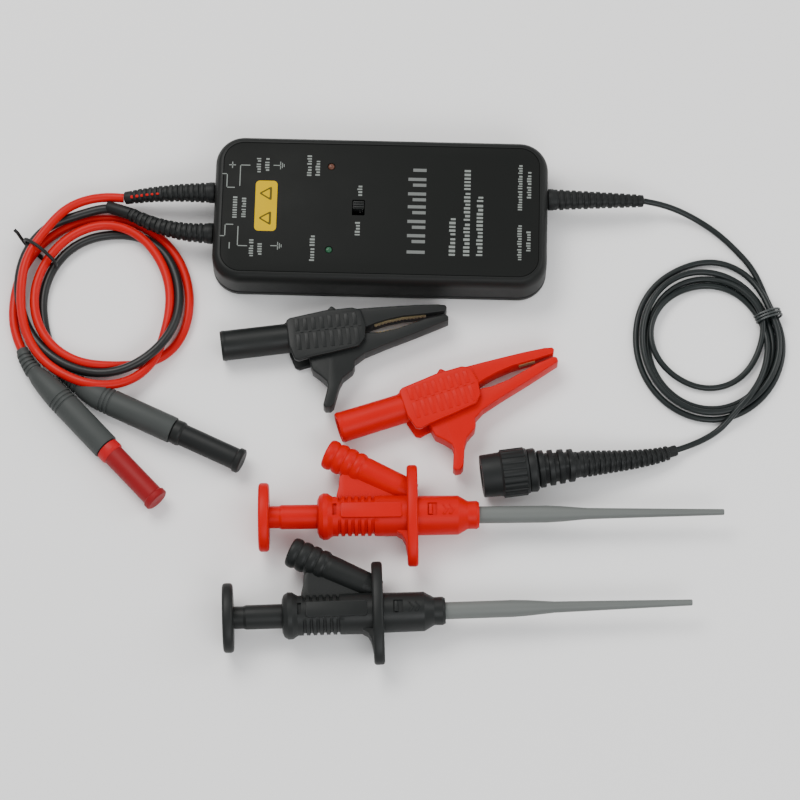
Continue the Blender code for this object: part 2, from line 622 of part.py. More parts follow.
# ------------------------------------------------------------------ BNC plug
def bnc_plug():
    axis = make_frame("bnc_axis", BNC_MOUTH, BNC_HEIGHT, BNC_ANGLE)
    collar_profile = [(BNC_COLLAR_LENGTH, 0.0098), (BNC_COLLAR_LENGTH, 0.0100), (0.0160, 0.0107),
                      (0.0085, 0.0107), (0.0, 0.0094), (0.0, 0.0050), (0.0125, 0.0050),
                      (0.0125, 0.0046), (BNC_COLLAR_LENGTH, 0.0046)]
    collar = turned("bnc_collar", collar_profile, RUBBER_BLACK, steps=24, bored=True)
    place(collar, axis, turn=TURN_X)
    shell = turned("bnc_shell", [(0.0320, 0.0030), (0.0320, 0.0043), (0.0010, 0.0043), (0.0010, 0.0036),
                                 (0.0110, 0.0036), (0.0110, 0.0030)], NICKEL, steps=24, bored=True)
    place(shell, axis, turn=TURN_X)
    insulator_profile = [(0.0315, 0.0007 + GAP), (0.0315, 0.0030 - GAP), (0.0106, 0.0030 - GAP),
                         (0.0106, 0.0024), (0.0035, 0.0024), (0.0035, 0.0007 + GAP)]
    insulator = turned("bnc_insulator", insulator_profile, TIE_PALE, steps=16, bored=True)
    place(insulator, axis, turn=TURN_X)
    pin = turned("bnc_pin", [(0.0300, 0.0007), (0.0026, 0.0007), (0.0020, 0.0004)], BRASS, steps=10)
    place(pin, axis, turn=TURN_X)

    start = BNC_COLLAR_LENGTH + GAP
    heading = Vector((math.cos(math.radians(BNC_ANGLE)), math.sin(math.radians(BNC_ANGLE)), 0.0))
    mouth = Vector((*BNC_MOUTH, BNC_HEIGHT))
    straight = [(start, 0.0098), (start + 0.0034, 0.0098), (start + 0.0036, 0.0079), (start + 0.0150, 0.0072)]
    points = [mouth + heading * along for along, radius in straight]
    radii = [radius for along, radius in straight]
    bend = smooth_route([(0.0845, -0.1161, 0.0107), (0.0970, -0.1141, 0.0094), (0.1130, -0.1113, 0.0068),
                         (0.1250, -0.1083, 0.0046), (0.1337, -0.1051, 0.0035)], 8)
    for index, point in enumerate(bend):
        points.append(point)
        radii.append(0.0060 + (0.0026 - 0.0060) * math.sqrt(index / (len(bend) - 1)))
    boot = as_mesh(tube("bnc_boot", points, 0.005, RUBBER_BLACK, resolution=5, radii=radii))
    bore = cylinder("boot_bore", 0.0043 + GAP, 0.024, cutter=True)
    cut(boot, place(bore, axis, at=(start, 0.0, 0.0), turn=TURN_X))


# ------------------------------------------------------------- alligator clips
BLADE = [(0.0280, 0.0050), (0.0318, 0.0072), (0.0482, 0.0091), (0.0508, 0.0114), (0.0536, 0.0090),
         (0.0702, 0.0083), (0.0886, 0.0072), (0.0984, 0.0062), (0.1014, 0.0055), (0.1022, 0.0042),
         (0.1012, 0.0025), (0.0924, 0.0024), (0.0820, 0.0026), (0.0746, 0.0018), (0.0687, 0.0006),
         (0.0645, -0.0008), (0.0600, 0.0046), (0.0340, 0.0046), (0.0330, 0.0020), (0.0280, 0.0020)]
CHEEK = [(0.0300, 0.0060), (0.0318, 0.0070), (0.0482, 0.0088), (0.0600, 0.0086), (0.0638, 0.0070),
         (0.0650, 0.0000), (0.0640, -0.0065), (0.0608, -0.0100), (0.0495, -0.0115), (0.0383, -0.0127),
         (0.0337, -0.0136), (0.0318, -0.0127), (0.0300, -0.0060)]
LOWER_JAW = [(0.1010, 0.0012), (0.1022, 0.0004), (0.1022, -0.0016), (0.0870, -0.0060), (0.0728, -0.0098),
             (0.0632, -0.0127), (0.0583, -0.0157), (0.0580, -0.0180), (0.0568, -0.0201), (0.0522, -0.0230),
             (0.0500, -0.0264), (0.0466, -0.0350), (0.0450, -0.0362), (0.0426, -0.0360), (0.0418, -0.0346),
             (0.0450, -0.0262), (0.0448, -0.0240), (0.0425, -0.0212), (0.0391, -0.0178), (0.0383, -0.0125),
             (0.0386, -0.0030), (0.0410, 0.0010), (0.0450, 0.0030), (0.0500, 0.0034), (0.0560, 0.0026),
             (0.0645, -0.0030), (0.0706, -0.0036), (0.0788, -0.0028), (0.0865, -0.0010), (0.0920, 0.0004)]


def contact_outline():
    """The brass strip under the upper jaw, with a row of teeth along its edge."""
    top = [(0.0690, 0.0000), (0.0748, 0.0012), (0.0820, 0.0020), (0.0890, 0.0020)]
    teeth = []
    count = 12
    for step in range(2 * count + 1):
        x = 0.0890 - (0.0890 - 0.0690) * step / (2 * count)
        base = 0.0010 - 0.0016 * (0.0890 - x) / 0.0200
        teeth.append((x, base - (0.0005 if step % 2 else 0.0)))
    return top + teeth


def alligator_clip(colour, material):
    spot, degrees = CLIP_PLACES[colour]
    base = make_frame(f"{colour}_clip_frame", spot, CLIP_HEIGHT, degrees)
    body = cylinder(f"{colour}_clip_body", 0.0067, 0.0325, material, segments=24)
    place(body, base, at=(0.01625, 0.0, 0.0), turn=TURN_X)
    blade = as_mesh(place(plate(f"{colour}_blade", BLADE, 2 * JAW_HALF + 0.0008), base), cutter=True)
    join(body, blade)
    cheek_thickness = CLIP_HEIGHT - CLIP_INNER
    for side in (-1, 1):
        cheek = plate(f"{colour}_cheek_{side + 1}", CHEEK, cheek_thickness)
        place(cheek, base, at=(0.0, 0.0, side * (CLIP_INNER + cheek_thickness / 2)))
        join(body, as_mesh(cheek, cutter=True))
    socket = cylinder(f"{colour}_clip_socket", SOCKET_BORE, 2 * SOCKET_DEPTH, cutter=True, segments=20)
    cut(body, place(socket, base, turn=TURN_X))
    pin_half = CLIP_HEIGHT - 0.0008
    pin_seat = cylinder(f"{colour}_pin_seat", 0.0015 + GAP, 2 * (pin_half + GAP), cutter=True, segments=14)
    cut(body, place(pin_seat, base, at=(*CLIP_PIVOT, 0.0)))

    pivot = make_frame(f"{colour}_jaw_axis", CLIP_PIVOT, 0.0, 0.0, base)
    pin = cylinder(f"{colour}_clip_pin", 0.0015, 2 * pin_half, STEEL, segments=14)
    place(pin, pivot)
    shifted = [(x - CLIP_PIVOT[0], y - CLIP_PIVOT[1]) for x, y in LOWER_JAW]
    jaw = as_mesh(place(plate(f"{colour}_clip_jaw", shifted, 2 * JAW_HALF, material), pivot))
    hole = cylinder(f"{colour}_jaw_hole", 0.0015 + GAP, 0.012, cutter=True, segments=14)
    pocket = block(f"{colour}_spring_pocket", (0.0085, 0.0120, 0.0040), cutter=True)
    cut(jaw, place(hole, pivot), place(pocket, pivot, at=(0.0, 0.0020, 0.0)))
    turns = helix(0.0026, 0.0009, 3, -0.00135, 9)
    spring = tube(f"{colour}_clip_spring", turns, 0.00035, STEEL, resolution=0)
    place(spring, pivot)
    contact = plate(f"{colour}_clip_contact", contact_outline(), 0.0060, BRASS)
    place(contact, base)


# ------------------------------------------------------------------ hook clips
HOOK_BODY = [(0.0258, 0.0072), (0.0266, 0.0092), (0.0284, 0.0103), (0.0303, 0.0102), (0.0320, 0.0091),
             (0.0680, 0.0090), (0.0700, 0.0086), (0.0876, 0.0086), (0.0912, 0.0064), (0.0952, 0.0062),
             (0.0966, 0.0054)]
HOOK_WEB = [(0.0345, 0.0060), (0.0352, 0.0190), (0.0440, 0.0230), (0.0650, 0.0140), (0.0650, 0.0060)]
PAD_THICKNESS = 0.0047
GUARD_X = (0.0650, 0.0698)
PLUNGER_END = 0.0460
CHAMBER_END = 0.0620
STEM_START = 0.0790
STEM_PROFILE = [(STEM_START, 0.0038), (0.1260, 0.0038), (0.1330, 0.0034), (0.1440, 0.0025), (0.2040, 0.00135)]


def hook_clip(colour, material):
    spot, degrees = HOOK_PLACES[colour]
    base = make_frame(f"{colour}_hook_frame", spot, HOOK_HEIGHT, degrees)
    body = turned(f"{colour}_hook_body", HOOK_BODY, material, steps=20)
    place(body, base, turn=TURN_X)
    guard = plate(f"{colour}_guard", oval(0.0233, HOOK_HEIGHT, 20), GUARD_X[1] - GUARD_X[0])
    place(guard, base, at=((GUARD_X[0] + GUARD_X[1]) / 2, 0.0, 0.0), turn=FACE_X)
    web = place(plate(f"{colour}_web", HOOK_WEB, 0.0050), base)

    socket_frame = make_frame(f"{colour}_socket_axis", SOCKET_END, 0.0, SOCKET_TURN, base)
    socket = turned(f"{colour}_socket", [(0.0, 0.0062), (0.0010, 0.0067), (0.0180, 0.0067), (0.0390, 0.0055)],
                    cutter=True, steps=16)
    place(socket, socket_frame, turn=TURN_X)
    join(body, as_mesh(guard, cutter=True), as_mesh(web, cutter=True), socket)

    bore = cylinder(f"{colour}_socket_bore", SOCKET_BORE, 2 * SOCKET_DEPTH, cutter=True, segments=16)
    place(bore, socket_frame, turn=TURN_X)
    passage = turned(f"{colour}_passage", [(0.0200, 0.0057), (CHAMBER_END, 0.0057), (CHAMBER_END, 0.0010),
                                           (STEM_START - GAP, 0.0010), (STEM_START - GAP, 0.0038 + GAP),
                                           (0.1000, 0.0038 + GAP)], cutter=True, steps=16)
    cut(body, bore, place(passage, base, turn=TURN_X))

    stem = turned(f"{colour}_hook_stem", [*STEM_PROFILE, (0.2040, 0.0008), (STEM_START, 0.0008)],
                  STEM_GREY, steps=12, bored=True)
    place(stem, base, turn=TURN_X)

    plunger_axis = make_frame(f"{colour}_plunger_axis", (0.0, 0.0), 0.0, 0.0, base)
    shaft = turned(f"{colour}_hook_plunger", [(0.0010, 0.0050), (0.0092, 0.0050), (0.0100, 0.0054),
                                              (PLUNGER_END, 0.0054)], material, steps=16)
    place(shaft, plunger_axis, turn=TURN_X)
    pad = plate(f"{colour}_pad", oval(0.0155, HOOK_HEIGHT, 20), PAD_THICKNESS)
    place(pad, plunger_axis, at=(PAD_THICKNESS / 2, 0.0, 0.0), turn=FACE_X)
    join(shaft, as_mesh(pad, cutter=True))
    wire_route = [(PLUNGER_END + GAP, 0.0, 0.0), (0.1250, 0.0, 0.0), (0.2030, 0.0, 0.0)]
    wire = tube(f"{colour}_hook_wire", wire_route, 0.0005, STEEL, resolution=1)
    place(wire, plunger_axis)
    length = CHAMBER_END - PLUNGER_END - 4 * GAP
    turns = helix(0.0042, length / 5.2, 5, 0.0, 8)
    spring = tube(f"{colour}_hook_spring", turns, 0.0004, STEEL, resolution=0)
    place(spring, plunger_axis, at=(PLUNGER_END + 0.0012, 0.0, 0.0), turn=TURN_X)


def build():
    top_shell()
    bottom_shell()
    face_sheet()
    circuit_board()
    shield_can()
    range_switch()
    lamps()
    case_screws()
    power_jack()
    cable_exits()
    lead_lengths()
    coils()
    banana_plugs()
    bnc_plug()
    for colour, material in (("red", CLIP_RED), ("black", CLIP_BLACK)):
        alligator_clip(colour, material)
        hook_clip(colour, material)
    bpy.context.view_layer.update()


build()
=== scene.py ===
"""Looks for the high voltage differential probe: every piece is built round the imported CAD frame.

Outlines, profiles and routes are written in millimetres and become metres as each piece is made.
"""

import json
import math
import random

import bmesh
import bpy
from mathutils import Matrix, Vector


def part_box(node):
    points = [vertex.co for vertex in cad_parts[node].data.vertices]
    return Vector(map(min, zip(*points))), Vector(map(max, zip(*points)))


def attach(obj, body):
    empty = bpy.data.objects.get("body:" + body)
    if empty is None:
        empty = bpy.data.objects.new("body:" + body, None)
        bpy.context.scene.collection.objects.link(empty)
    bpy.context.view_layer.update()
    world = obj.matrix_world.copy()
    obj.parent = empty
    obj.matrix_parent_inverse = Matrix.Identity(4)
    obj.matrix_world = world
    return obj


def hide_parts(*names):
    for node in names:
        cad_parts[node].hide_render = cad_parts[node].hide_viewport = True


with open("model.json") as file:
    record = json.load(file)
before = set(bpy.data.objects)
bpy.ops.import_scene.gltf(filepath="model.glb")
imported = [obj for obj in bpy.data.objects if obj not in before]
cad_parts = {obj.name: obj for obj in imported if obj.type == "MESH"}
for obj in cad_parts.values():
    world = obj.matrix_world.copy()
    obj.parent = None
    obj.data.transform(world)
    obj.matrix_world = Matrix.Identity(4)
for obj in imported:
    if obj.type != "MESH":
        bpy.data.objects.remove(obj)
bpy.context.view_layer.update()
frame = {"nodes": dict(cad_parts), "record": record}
RECORD = frame["record"]
JOINTS = {joint["name"]: joint for joint in RECORD["behaviour"]["joints"]}
OPENINGS = {opening["name"]: opening["box_m"] for opening in RECORD["physics"]["openings"]}
MM = 0.001
COLOURS = ("red", "black")


# ---- Camera and stage
CAMERA_AZIMUTH, CAMERA_ELEVATION = math.radians(1.4), math.radians(70.0)
CAMERA_DISTANCE = 1.65
CAMERA_TARGET = Vector((0.0107, -0.0832, 0.0))
CAMERA_LENS = 166.5
FLOOR_HALF = 4.0
FLOOR_HEIGHT = -0.0002
SKY_STRENGTH = 0.72
# Each light's name, place, size, watts and colour.
LIGHTS = (("key", (-0.5, 0.55, 1.1), (0.9, 0.6), 14.0, (1.0, 0.985, 0.96)),
          ("front", (0.35, -0.9, 0.9), (1.0, 0.5), 8.0, (0.97, 0.985, 1.0)),
          ("side", (1.0, 0.2, 0.6), (0.5, 0.8), 4.0, (1.0, 1.0, 1.0)))


def add_object(name, data):
    item = bpy.data.objects.new(name, data)
    bpy.context.scene.collection.objects.link(item)
    return item


def add_camera():
    azimuth, elevation = CAMERA_AZIMUTH, CAMERA_ELEVATION
    right = Vector((math.cos(azimuth), math.sin(azimuth), 0.0))
    back = Vector((math.sin(azimuth) * math.cos(elevation), -math.cos(azimuth) * math.cos(elevation),
                   math.sin(elevation)))
    up = back.cross(right)
    data = bpy.data.cameras.new("camera")
    data.lens = CAMERA_LENS
    data.clip_start = 0.01
    camera = add_object("camera", data)
    turn = Matrix((right, up, back)).transposed().to_4x4()
    camera.matrix_world = Matrix.Translation(CAMERA_TARGET + back * CAMERA_DISTANCE) @ turn
    bpy.context.scene.camera = camera


def add_light(name, place, size, watts, colour):
    data = bpy.data.lights.new(name, "AREA")
    data.shape = "RECTANGLE"
    data.size, data.size_y = size
    data.energy = watts
    data.color = colour
    light = add_object(name, data)
    light.location = place
    light.rotation_euler = (-Vector(place)).to_track_quat("-Z", "Y").to_euler()


def add_stage():
    mesh = bpy.data.meshes.new("floor")
    corners = [(x * FLOOR_HALF, y * FLOOR_HALF, 0) for x, y in ((-1, -1), (1, -1), (1, 1), (-1, 1))]
    mesh.from_pydata(corners, [], [(0, 1, 2, 3)])
    floor = add_object("floor", mesh)
    floor.location.z = FLOOR_HEIGHT
    mesh.materials.append(plain("floor_white", (0.86, 0.86, 0.86), 0.9))
    world = bpy.data.worlds.new("studio")
    world.use_nodes = True
    sky = world.node_tree.nodes["Background"]
    sky.inputs["Color"].default_value = (1.0, 1.0, 1.0, 1.0)
    sky.inputs["Strength"].default_value = SKY_STRENGTH
    bpy.context.scene.world = world
    for light in LIGHTS:
        add_light(*light)


# ---- Materials
def plain(name, colour, roughness):
    material = bpy.data.materials.new(name)
    material.use_nodes = True
    shader = material.node_tree.nodes["Principled BSDF"]
    shader.inputs["Base Color"].default_value = (*colour, 1.0)
    shader.inputs["Roughness"].default_value = roughness
    return material


def add_node(tree, kind, **values):
    """A shader node with its inputs set; an underscore in an input's name stands for a space."""
    node = tree.nodes.new(f"ShaderNode{kind}")
    for name, value in values.items():
        node.inputs[name.replace("_", " ")].default_value = value
    return node


def surface(name, dark, light, roughness, grain=900.0, depth=0.00002, patch=45.0, metallic=0.0,
            spread=0.08, streak=None, shine=0.22):
    """A moulded, turned or plated surface: its colour drifts between two shades,
    its gloss drifts with it, and a fine grain stands on it."""
    material = plain(name, light, roughness)
    tree = material.node_tree
    link = tree.links.new
    shader = tree.nodes["Principled BSDF"]
    shader.inputs["Metallic"].default_value = metallic
    shader.inputs["Specular IOR Level"].default_value = shine
    source = add_node(tree, "TexCoord").outputs["Object"]
    if streak:
        stretch = add_node(tree, "Mapping", Scale=streak)
        link(source, stretch.inputs["Vector"])
        source = stretch.outputs["Vector"]
    patches = add_node(tree, "TexNoise", Scale=patch, Detail=6.0, Roughness=0.6)
    link(source, patches.inputs["Vector"])
    mix = add_node(tree, "Mix")
    mix.data_type = "RGBA"
    mix.inputs["A"].default_value = (*dark, 1.0)
    mix.inputs["B"].default_value = (*light, 1.0)
    link(patches.outputs["Fac"], mix.inputs["Factor"])
    link(mix.outputs["Result"], shader.inputs["Base Color"])
    gloss = add_node(tree, "MapRange", From_Min=0.3, From_Max=0.7, To_Min=roughness - spread,
                     To_Max=roughness + spread)
    link(patches.outputs["Fac"], gloss.inputs["Value"])
    link(gloss.outputs["Result"], shader.inputs["Roughness"])
    fine = add_node(tree, "TexNoise", Scale=grain, Detail=3.0)
    link(source, fine.inputs["Vector"])
    bump = add_node(tree, "Bump", Strength=0.6, Distance=depth)
    link(fine.outputs["Fac"], bump.inputs["Height"])
    link(bump.outputs["Normal"], shader.inputs["Normal"])
    return material


def board_surface():
    """Green solder mask with paler copper runs and pads showing through."""
    material = surface("board_mask", (0.008, 0.06, 0.025), (0.015, 0.10, 0.04), 0.4)
    tree = material.node_tree
    shader = tree.nodes["Principled BSDF"]
    runs = add_node(tree, "TexBrick", Scale=90.0, Mortar_Size=0.035, Color1=(0.010, 0.08, 0.03, 1.0),
                    Color2=(0.014, 0.10, 0.04, 1.0), Mortar=(0.06, 0.22, 0.10, 1.0))
    tree.links.new(add_node(tree, "TexCoord").outputs["Object"], runs.inputs["Vector"])
    tree.links.new(runs.outputs["Color"], shader.inputs["Base Color"])
    return material


# Each material's two shades, its roughness, how fine its grain is and how far the grain stands up, in metres,
# then whatever sets it apart.
FINISHES = {
    "case_black": ((0.007, 0.0078, 0.0074), (0.0105, 0.0115, 0.011), 0.47, 1500, 0.00005, {"shine": 0.16}),
    "face_black": ((0.0062, 0.007, 0.0064), (0.0086, 0.0094, 0.0088), 0.55, 2600, 0.00002,
                   {"patch": 25, "shine": 0.10}),
    "rubber_black": ((0.0065, 0.0074, 0.0074), (0.011, 0.0124, 0.0124), 0.48, 1200, 0.00004, {"shine": 0.2}),
    "clip_black": ((0.0075, 0.0085, 0.0083), (0.012, 0.0135, 0.0132), 0.44, 1100, 0.00004, {"shine": 0.2}),
    "clip_red": ((0.44, 0.0006, 0.0004), (0.53, 0.0012, 0.0008), 0.4, 1100, 0.00003,
                 {"spread": 0.05, "shine": 0.12}),
    "cap_red": ((0.185, 0.006, 0.0085), (0.245, 0.009, 0.012), 0.45, 1200, 0.00003, {"shine": 0.15}),
    "collar_red": ((0.36, 0.004, 0.007), (0.44, 0.006, 0.01), 0.42, 1200, 0.00003, {"shine": 0.18}),
    "lead_red": ((0.42, 0.001, 0.0008), (0.51, 0.0018, 0.0014), 0.36, 700, 0.00003,
                 {"spread": 0.06, "shine": 0.18}),
    "lead_black": ((0.007, 0.008, 0.008), (0.012, 0.0134, 0.0134), 0.36, 700, 0.00003,
                   {"spread": 0.06, "shine": 0.3}),
    "grip_grey": ((0.036, 0.04, 0.039), (0.05, 0.055, 0.053), 0.52, 1500, 0.00004, {"shine": 0.18}),
    "stem_grey": ((0.095, 0.103, 0.098), (0.14, 0.15, 0.144), 0.5, 1300, 0.00003,
                  {"patch": 90, "streak": (0.15, 1.0, 1.0)}),
    "coax_grey": ((0.007, 0.0098, 0.0098), (0.012, 0.0158, 0.0158), 0.34, 800, 0.00003,
                  {"spread": 0.06, "shine": 0.26}),
    "nickel": ((0.55, 0.53, 0.49), (0.7, 0.68, 0.64), 0.24, 2200, 0.00001, {"metallic": 1.0}),
    "brass": ((0.42, 0.31, 0.15), (0.62, 0.5, 0.3), 0.32, 1800, 0.00003, {"metallic": 1.0}),
    "steel": ((0.38, 0.38, 0.38), (0.55, 0.55, 0.55), 0.34, 1400, 0.00002,
              {"metallic": 1.0, "streak": (1.0, 1.0, 0.08)}),
    "led_amber": ((0.075, 0.03, 0.02), (0.13, 0.055, 0.036), 0.25, 900, 0.00001, {}),
    "led_green": ((0.012, 0.055, 0.026), (0.028, 0.1, 0.052), 0.25, 900, 0.00001, {}),
    "tie_pale": ((0.22, 0.24, 0.24), (0.34, 0.36, 0.36), 0.35, 900, 0.00002, {}),
    "tie_dark": ((0.014, 0.018, 0.018), (0.03, 0.037, 0.037), 0.26, 700, 0.00003, {"shine": 0.6}),
    "print_grey": ((0.14, 0.155, 0.145), (0.22, 0.24, 0.225), 0.6, 3000, 0.00001, {}),
    "print_dim": ((0.1, 0.108, 0.104), (0.15, 0.16, 0.154), 0.6, 3000, 0.00001, {}),
    "label_yellow": ((0.46, 0.3, 0.0), (0.56, 0.37, 0.0), 0.5, 2200, 0.00001, {"shine": 0.05}),
    "label_ink": ((0.05, 0.037, 0.0), (0.09, 0.067, 0.0), 0.6, 2200, 0.00001, {}),
}


def make_materials():
    made = {name: surface(name, *row, **extras) for name, (*row, extras) in FINISHES.items()}
    made["board_green"] = board_surface()
    return made


# ---- Mesh building
def metres(points):
    return [(x * MM, y * MM, z * MM) for x, y, z in points]


def at(x, y=0.0, z=0.0):
    """A matrix that moves by so many millimetres."""
    return Matrix.Translation((x * MM, y * MM, z * MM))


def add_mesh(name, bm, angle=32.0):
    bmesh.ops.recalc_face_normals(bm, faces=bm.faces)
    mesh = bpy.data.meshes.new(name)
    bm.to_mesh(mesh)
    bm.free()
    mesh.shade_smooth()
    mesh.set_sharp_from_angle(angle=math.radians(angle))
    return add_object(name, mesh)


def tube(name, line, radius, resolution):
    """A round cord or wire through the points, as a curve with closed ends."""
    curve = bpy.data.curves.new(name, "CURVE")
    curve.dimensions = "3D"
    curve.bevel_depth = radius * MM
    curve.bevel_resolution = resolution
    curve.use_fill_caps = True
    spline = curve.splines.new("POLY")
    spline.points.add(len(line) - 1)
    for knot, point in zip(spline.points, line):
        knot.co = (*point, 1.0)
    return add_object(name, curve)


def piece(item, finish, *nodes, body="probe_box", slot=None):
    """Gives a finished mesh its material, its CAD body and the CAD nodes that it stands for; slot is not
    used.
    """
    item.data.materials.clear()
    item.data.materials.append(MATERIALS[finish])
    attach(item, body)
    if nodes:
        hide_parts(*nodes)
    return item


def filleted(points, radius, closed=True, count=4):
    """The polyline with each corner rounded, in 2D."""
    pts = [Vector(point) for point in points]
    result = []
    for index, corner in enumerate(pts):
        if not closed and index in (0, len(pts) - 1):
            result.append(corner)
            continue
        before = pts[index - 1] - corner
        after = pts[(index + 1) % len(pts)] - corner
        turn = before.angle(after, 0.0)
        if turn < 0.05 or turn > math.pi - 0.05:
            result.append(corner)
            continue
        reach = min(radius / math.tan(turn / 2), before.length * 0.45, after.length * 0.45)
        first, last = corner + before.normalized() * reach, corner + after.normalized() * reach
        for step in range(count + 1):
            t = step / count
            result.append(first * (1 - t) ** 2 + corner * 2 * t * (1 - t) + last * t ** 2)
    return result


def loft(name, rings, ends=True, around=False):
    """Skins rings of points; ends closes both ends, around joins the last ring to the first."""
    bm = bmesh.new()
    rows = [[bm.verts.new(point) for point in ring] for ring in rings]
    pairs = list(zip(rows, rows[1:]))
    if around:
        pairs.append((rows[-1], rows[0]))
    count = len(rows[0])
    for low, high in pairs:
        for index in range(count):
            after = (index + 1) % count
            bm.faces.new((low[index], low[after], high[after], high[index]))
    if ends and not around:
        bm.faces.new(rows[0])
        bm.faces.new(rows[-1])
    return add_mesh(name, bm)


def turned(name, profile, place, steps=48, bored=False, wave=None, fillet=0.4, count=3):
    """A profile of (along, radius) in millimetres, turned about the line that place gives.

    place is a matrix whose X axis is the line, or a function from the distance along to such a matrix.
    wave(along, angle) adds to the radius.
    """
    rounded = filleted(profile, fillet, bored, count) if fillet else [Vector(p) for p in profile]
    rings = []
    for along, radius in rounded:
        matrix = place(along) if callable(place) else place @ at(along)
        ring = []
        for step in range(steps):
            angle = 2 * math.pi * step / steps
            reach = radius + (wave(along, angle) if wave else 0.0)
            ring.append(matrix @ Vector((0, reach * math.cos(angle) * MM, reach * math.sin(angle) * MM)))
        rings.append(ring)
    return loft(name, rings, ends=not bored, around=bored)


def slab(name, outline, low, high, edge=0.0, place=None, fillet=0.0, rounds=2):
    """An outline in local XY between two heights, in millimetres, with its rims rounded."""
    flat = filleted(outline, fillet) if fillet else [Vector(p) for p in outline]
    bm = bmesh.new()
    base = bm.faces.new([bm.verts.new((p.x * MM, p.y * MM, low * MM)) for p in flat])
    lifted = bmesh.ops.extrude_face_region(bm, geom=[base])
    top = [item for item in lifted["geom"] if isinstance(item, bmesh.types.BMVert)]
    bmesh.ops.translate(bm, vec=(0, 0, (high - low) * MM), verts=top)
    if edge:
        rims = [e for e in bm.edges if abs(e.verts[0].co.z - e.verts[1].co.z) < 1e-7]
        bmesh.ops.bevel(bm, geom=rims, offset=edge * MM, segments=rounds, profile=0.5,
                        affect="EDGES", clamp_overlap=True)
    if place:
        bm.transform(place)
    return add_mesh(name, bm)


def merge(name, *items):
    """Several separate closed shapes as one mesh."""
    bm = bmesh.new()
    for item in items:
        bm.from_mesh(item.data)
        bpy.data.objects.remove(item, do_unlink=True)
    return add_mesh(name, bm)


def boolean(item, others, operation):
    for other in others:
        modifier = item.modifiers.new("cut", "BOOLEAN")
        modifier.operation = operation
        modifier.object = other
        modifier.solver = "EXACT"
        bpy.context.view_layer.update()
        shown = item.evaluated_get(bpy.context.evaluated_depsgraph_get())
        mesh = bpy.data.meshes.new_from_object(shown)
        item.modifiers.clear()
        item.data = mesh
        bpy.data.objects.remove(other, do_unlink=True)
    item.data.shade_smooth()
    item.data.set_sharp_from_angle(angle=math.radians(32))
    return item


def union(item, *others):
    return boolean(item, others, "UNION")


def cut(item, *others):
    return boolean(item, others, "DIFFERENCE")


def round_rect(half_x, half_y, radius, count=10):
    points = []
    for quarter, (sx, sy) in enumerate(((1, 1), (-1, 1), (-1, -1), (1, -1))):
        for step in range(count + 1):
            angle = math.pi / 2 * (quarter + step / count)
            points.append(Vector((sx * (half_x - radius) + radius * math.cos(angle),
                                  sy * (half_y - radius) + radius * math.sin(angle))))
    return points


def oval(half_x, half_y, count=64):
    return [Vector((half_x * math.cos(2 * math.pi * i / count), half_y * math.sin(2 * math.pi * i / count)))
            for i in range(count)]


def axis_frame(point, heading, along=0.0):
    """A matrix whose X axis is the heading, with its origin set back along it from the point."""
    ahead = Vector(heading).normalized()
    side = Vector((0, 0, 1)).cross(ahead).normalized()
    up = ahead.cross(side)
    origin = Vector(point) - ahead * along * MM
    return Matrix.Translation(origin) @ Matrix((ahead, side, up)).transposed().to_4x4()


def middle(node):
    low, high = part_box(node)
    return (Vector(low) + Vector(high)) / 2


def upright(node):
    """A matrix whose X axis points up from the floor, through the node's middle."""
    spot = middle(node)
    return Matrix.Translation((spot.x, spot.y, 0)) @ Matrix.Rotation(-math.pi / 2, 4, "Y")


def smooth(stations, step):
    """Points a step apart on a Catmull-Rom curve through the stations."""
    pts = [Vector(s) for s in stations]
    pts = [pts[0] * 2 - pts[1], *pts, pts[-1] * 2 - pts[-2]]
    fine = []
    for a, b, c, d in zip(pts, pts[1:], pts[2:], pts[3:]):
        for i in range(12):
            t = i / 12
            fine.append((b * 2 + (c - a) * t + (a * 2 - b * 5 + c * 4 - d) * t ** 2
                         + (b * 3 - a - c * 3 + d) * t ** 3) / 2)
    fine.append(pts[-2])
    lengths = [0.0]
    for a, b in zip(fine, fine[1:]):
        lengths.append(lengths[-1] + (b - a).length)
    count = max(2, round(lengths[-1] / step))
    line, index = [], 0
    for i in range(count + 1):
        wanted = lengths[-1] * i / count
        while index < len(fine) - 2 and lengths[index + 1] < wanted:
            index += 1
        share = (wanted - lengths[index]) / (lengths[index + 1] - lengths[index])
        line.append(fine[index].lerp(fine[index + 1], share))
    return line


def along_route(stations):
    """A function from the distance along a route to a matrix with X along it, and the route's length."""
    line = smooth(stations, 0.0008)
    step = sum((b - a).length for a, b in zip(line, line[1:])) / (len(line) - 1)
    frames = []
    side = Vector((0, 0, 1)).cross(line[1] - line[0]).normalized()
    for index, point in enumerate(line):
        ahead = (line[min(index + 1, len(line) - 1)] - line[max(index - 1, 0)]).normalized()
        side = (side - ahead * side.dot(ahead)).normalized()
        frames.append((point, ahead, side.copy(), ahead.cross(side)))

    def place(along):
        position = min(max(along * MM / step, 0.0), len(frames) - 1.001)
        index, share = int(position), position - int(position)
        (p, ahead, side, up), q = frames[index], frames[index + 1][0]
        extra = along * MM - min(max(along * MM, 0.0), step * (len(frames) - 1))
        spot = p.lerp(q, share) + ahead * extra
        return Matrix.Translation(spot) @ Matrix((ahead, side, up)).transposed().to_4x4()

    return place, step * (len(frames) - 1) / MM


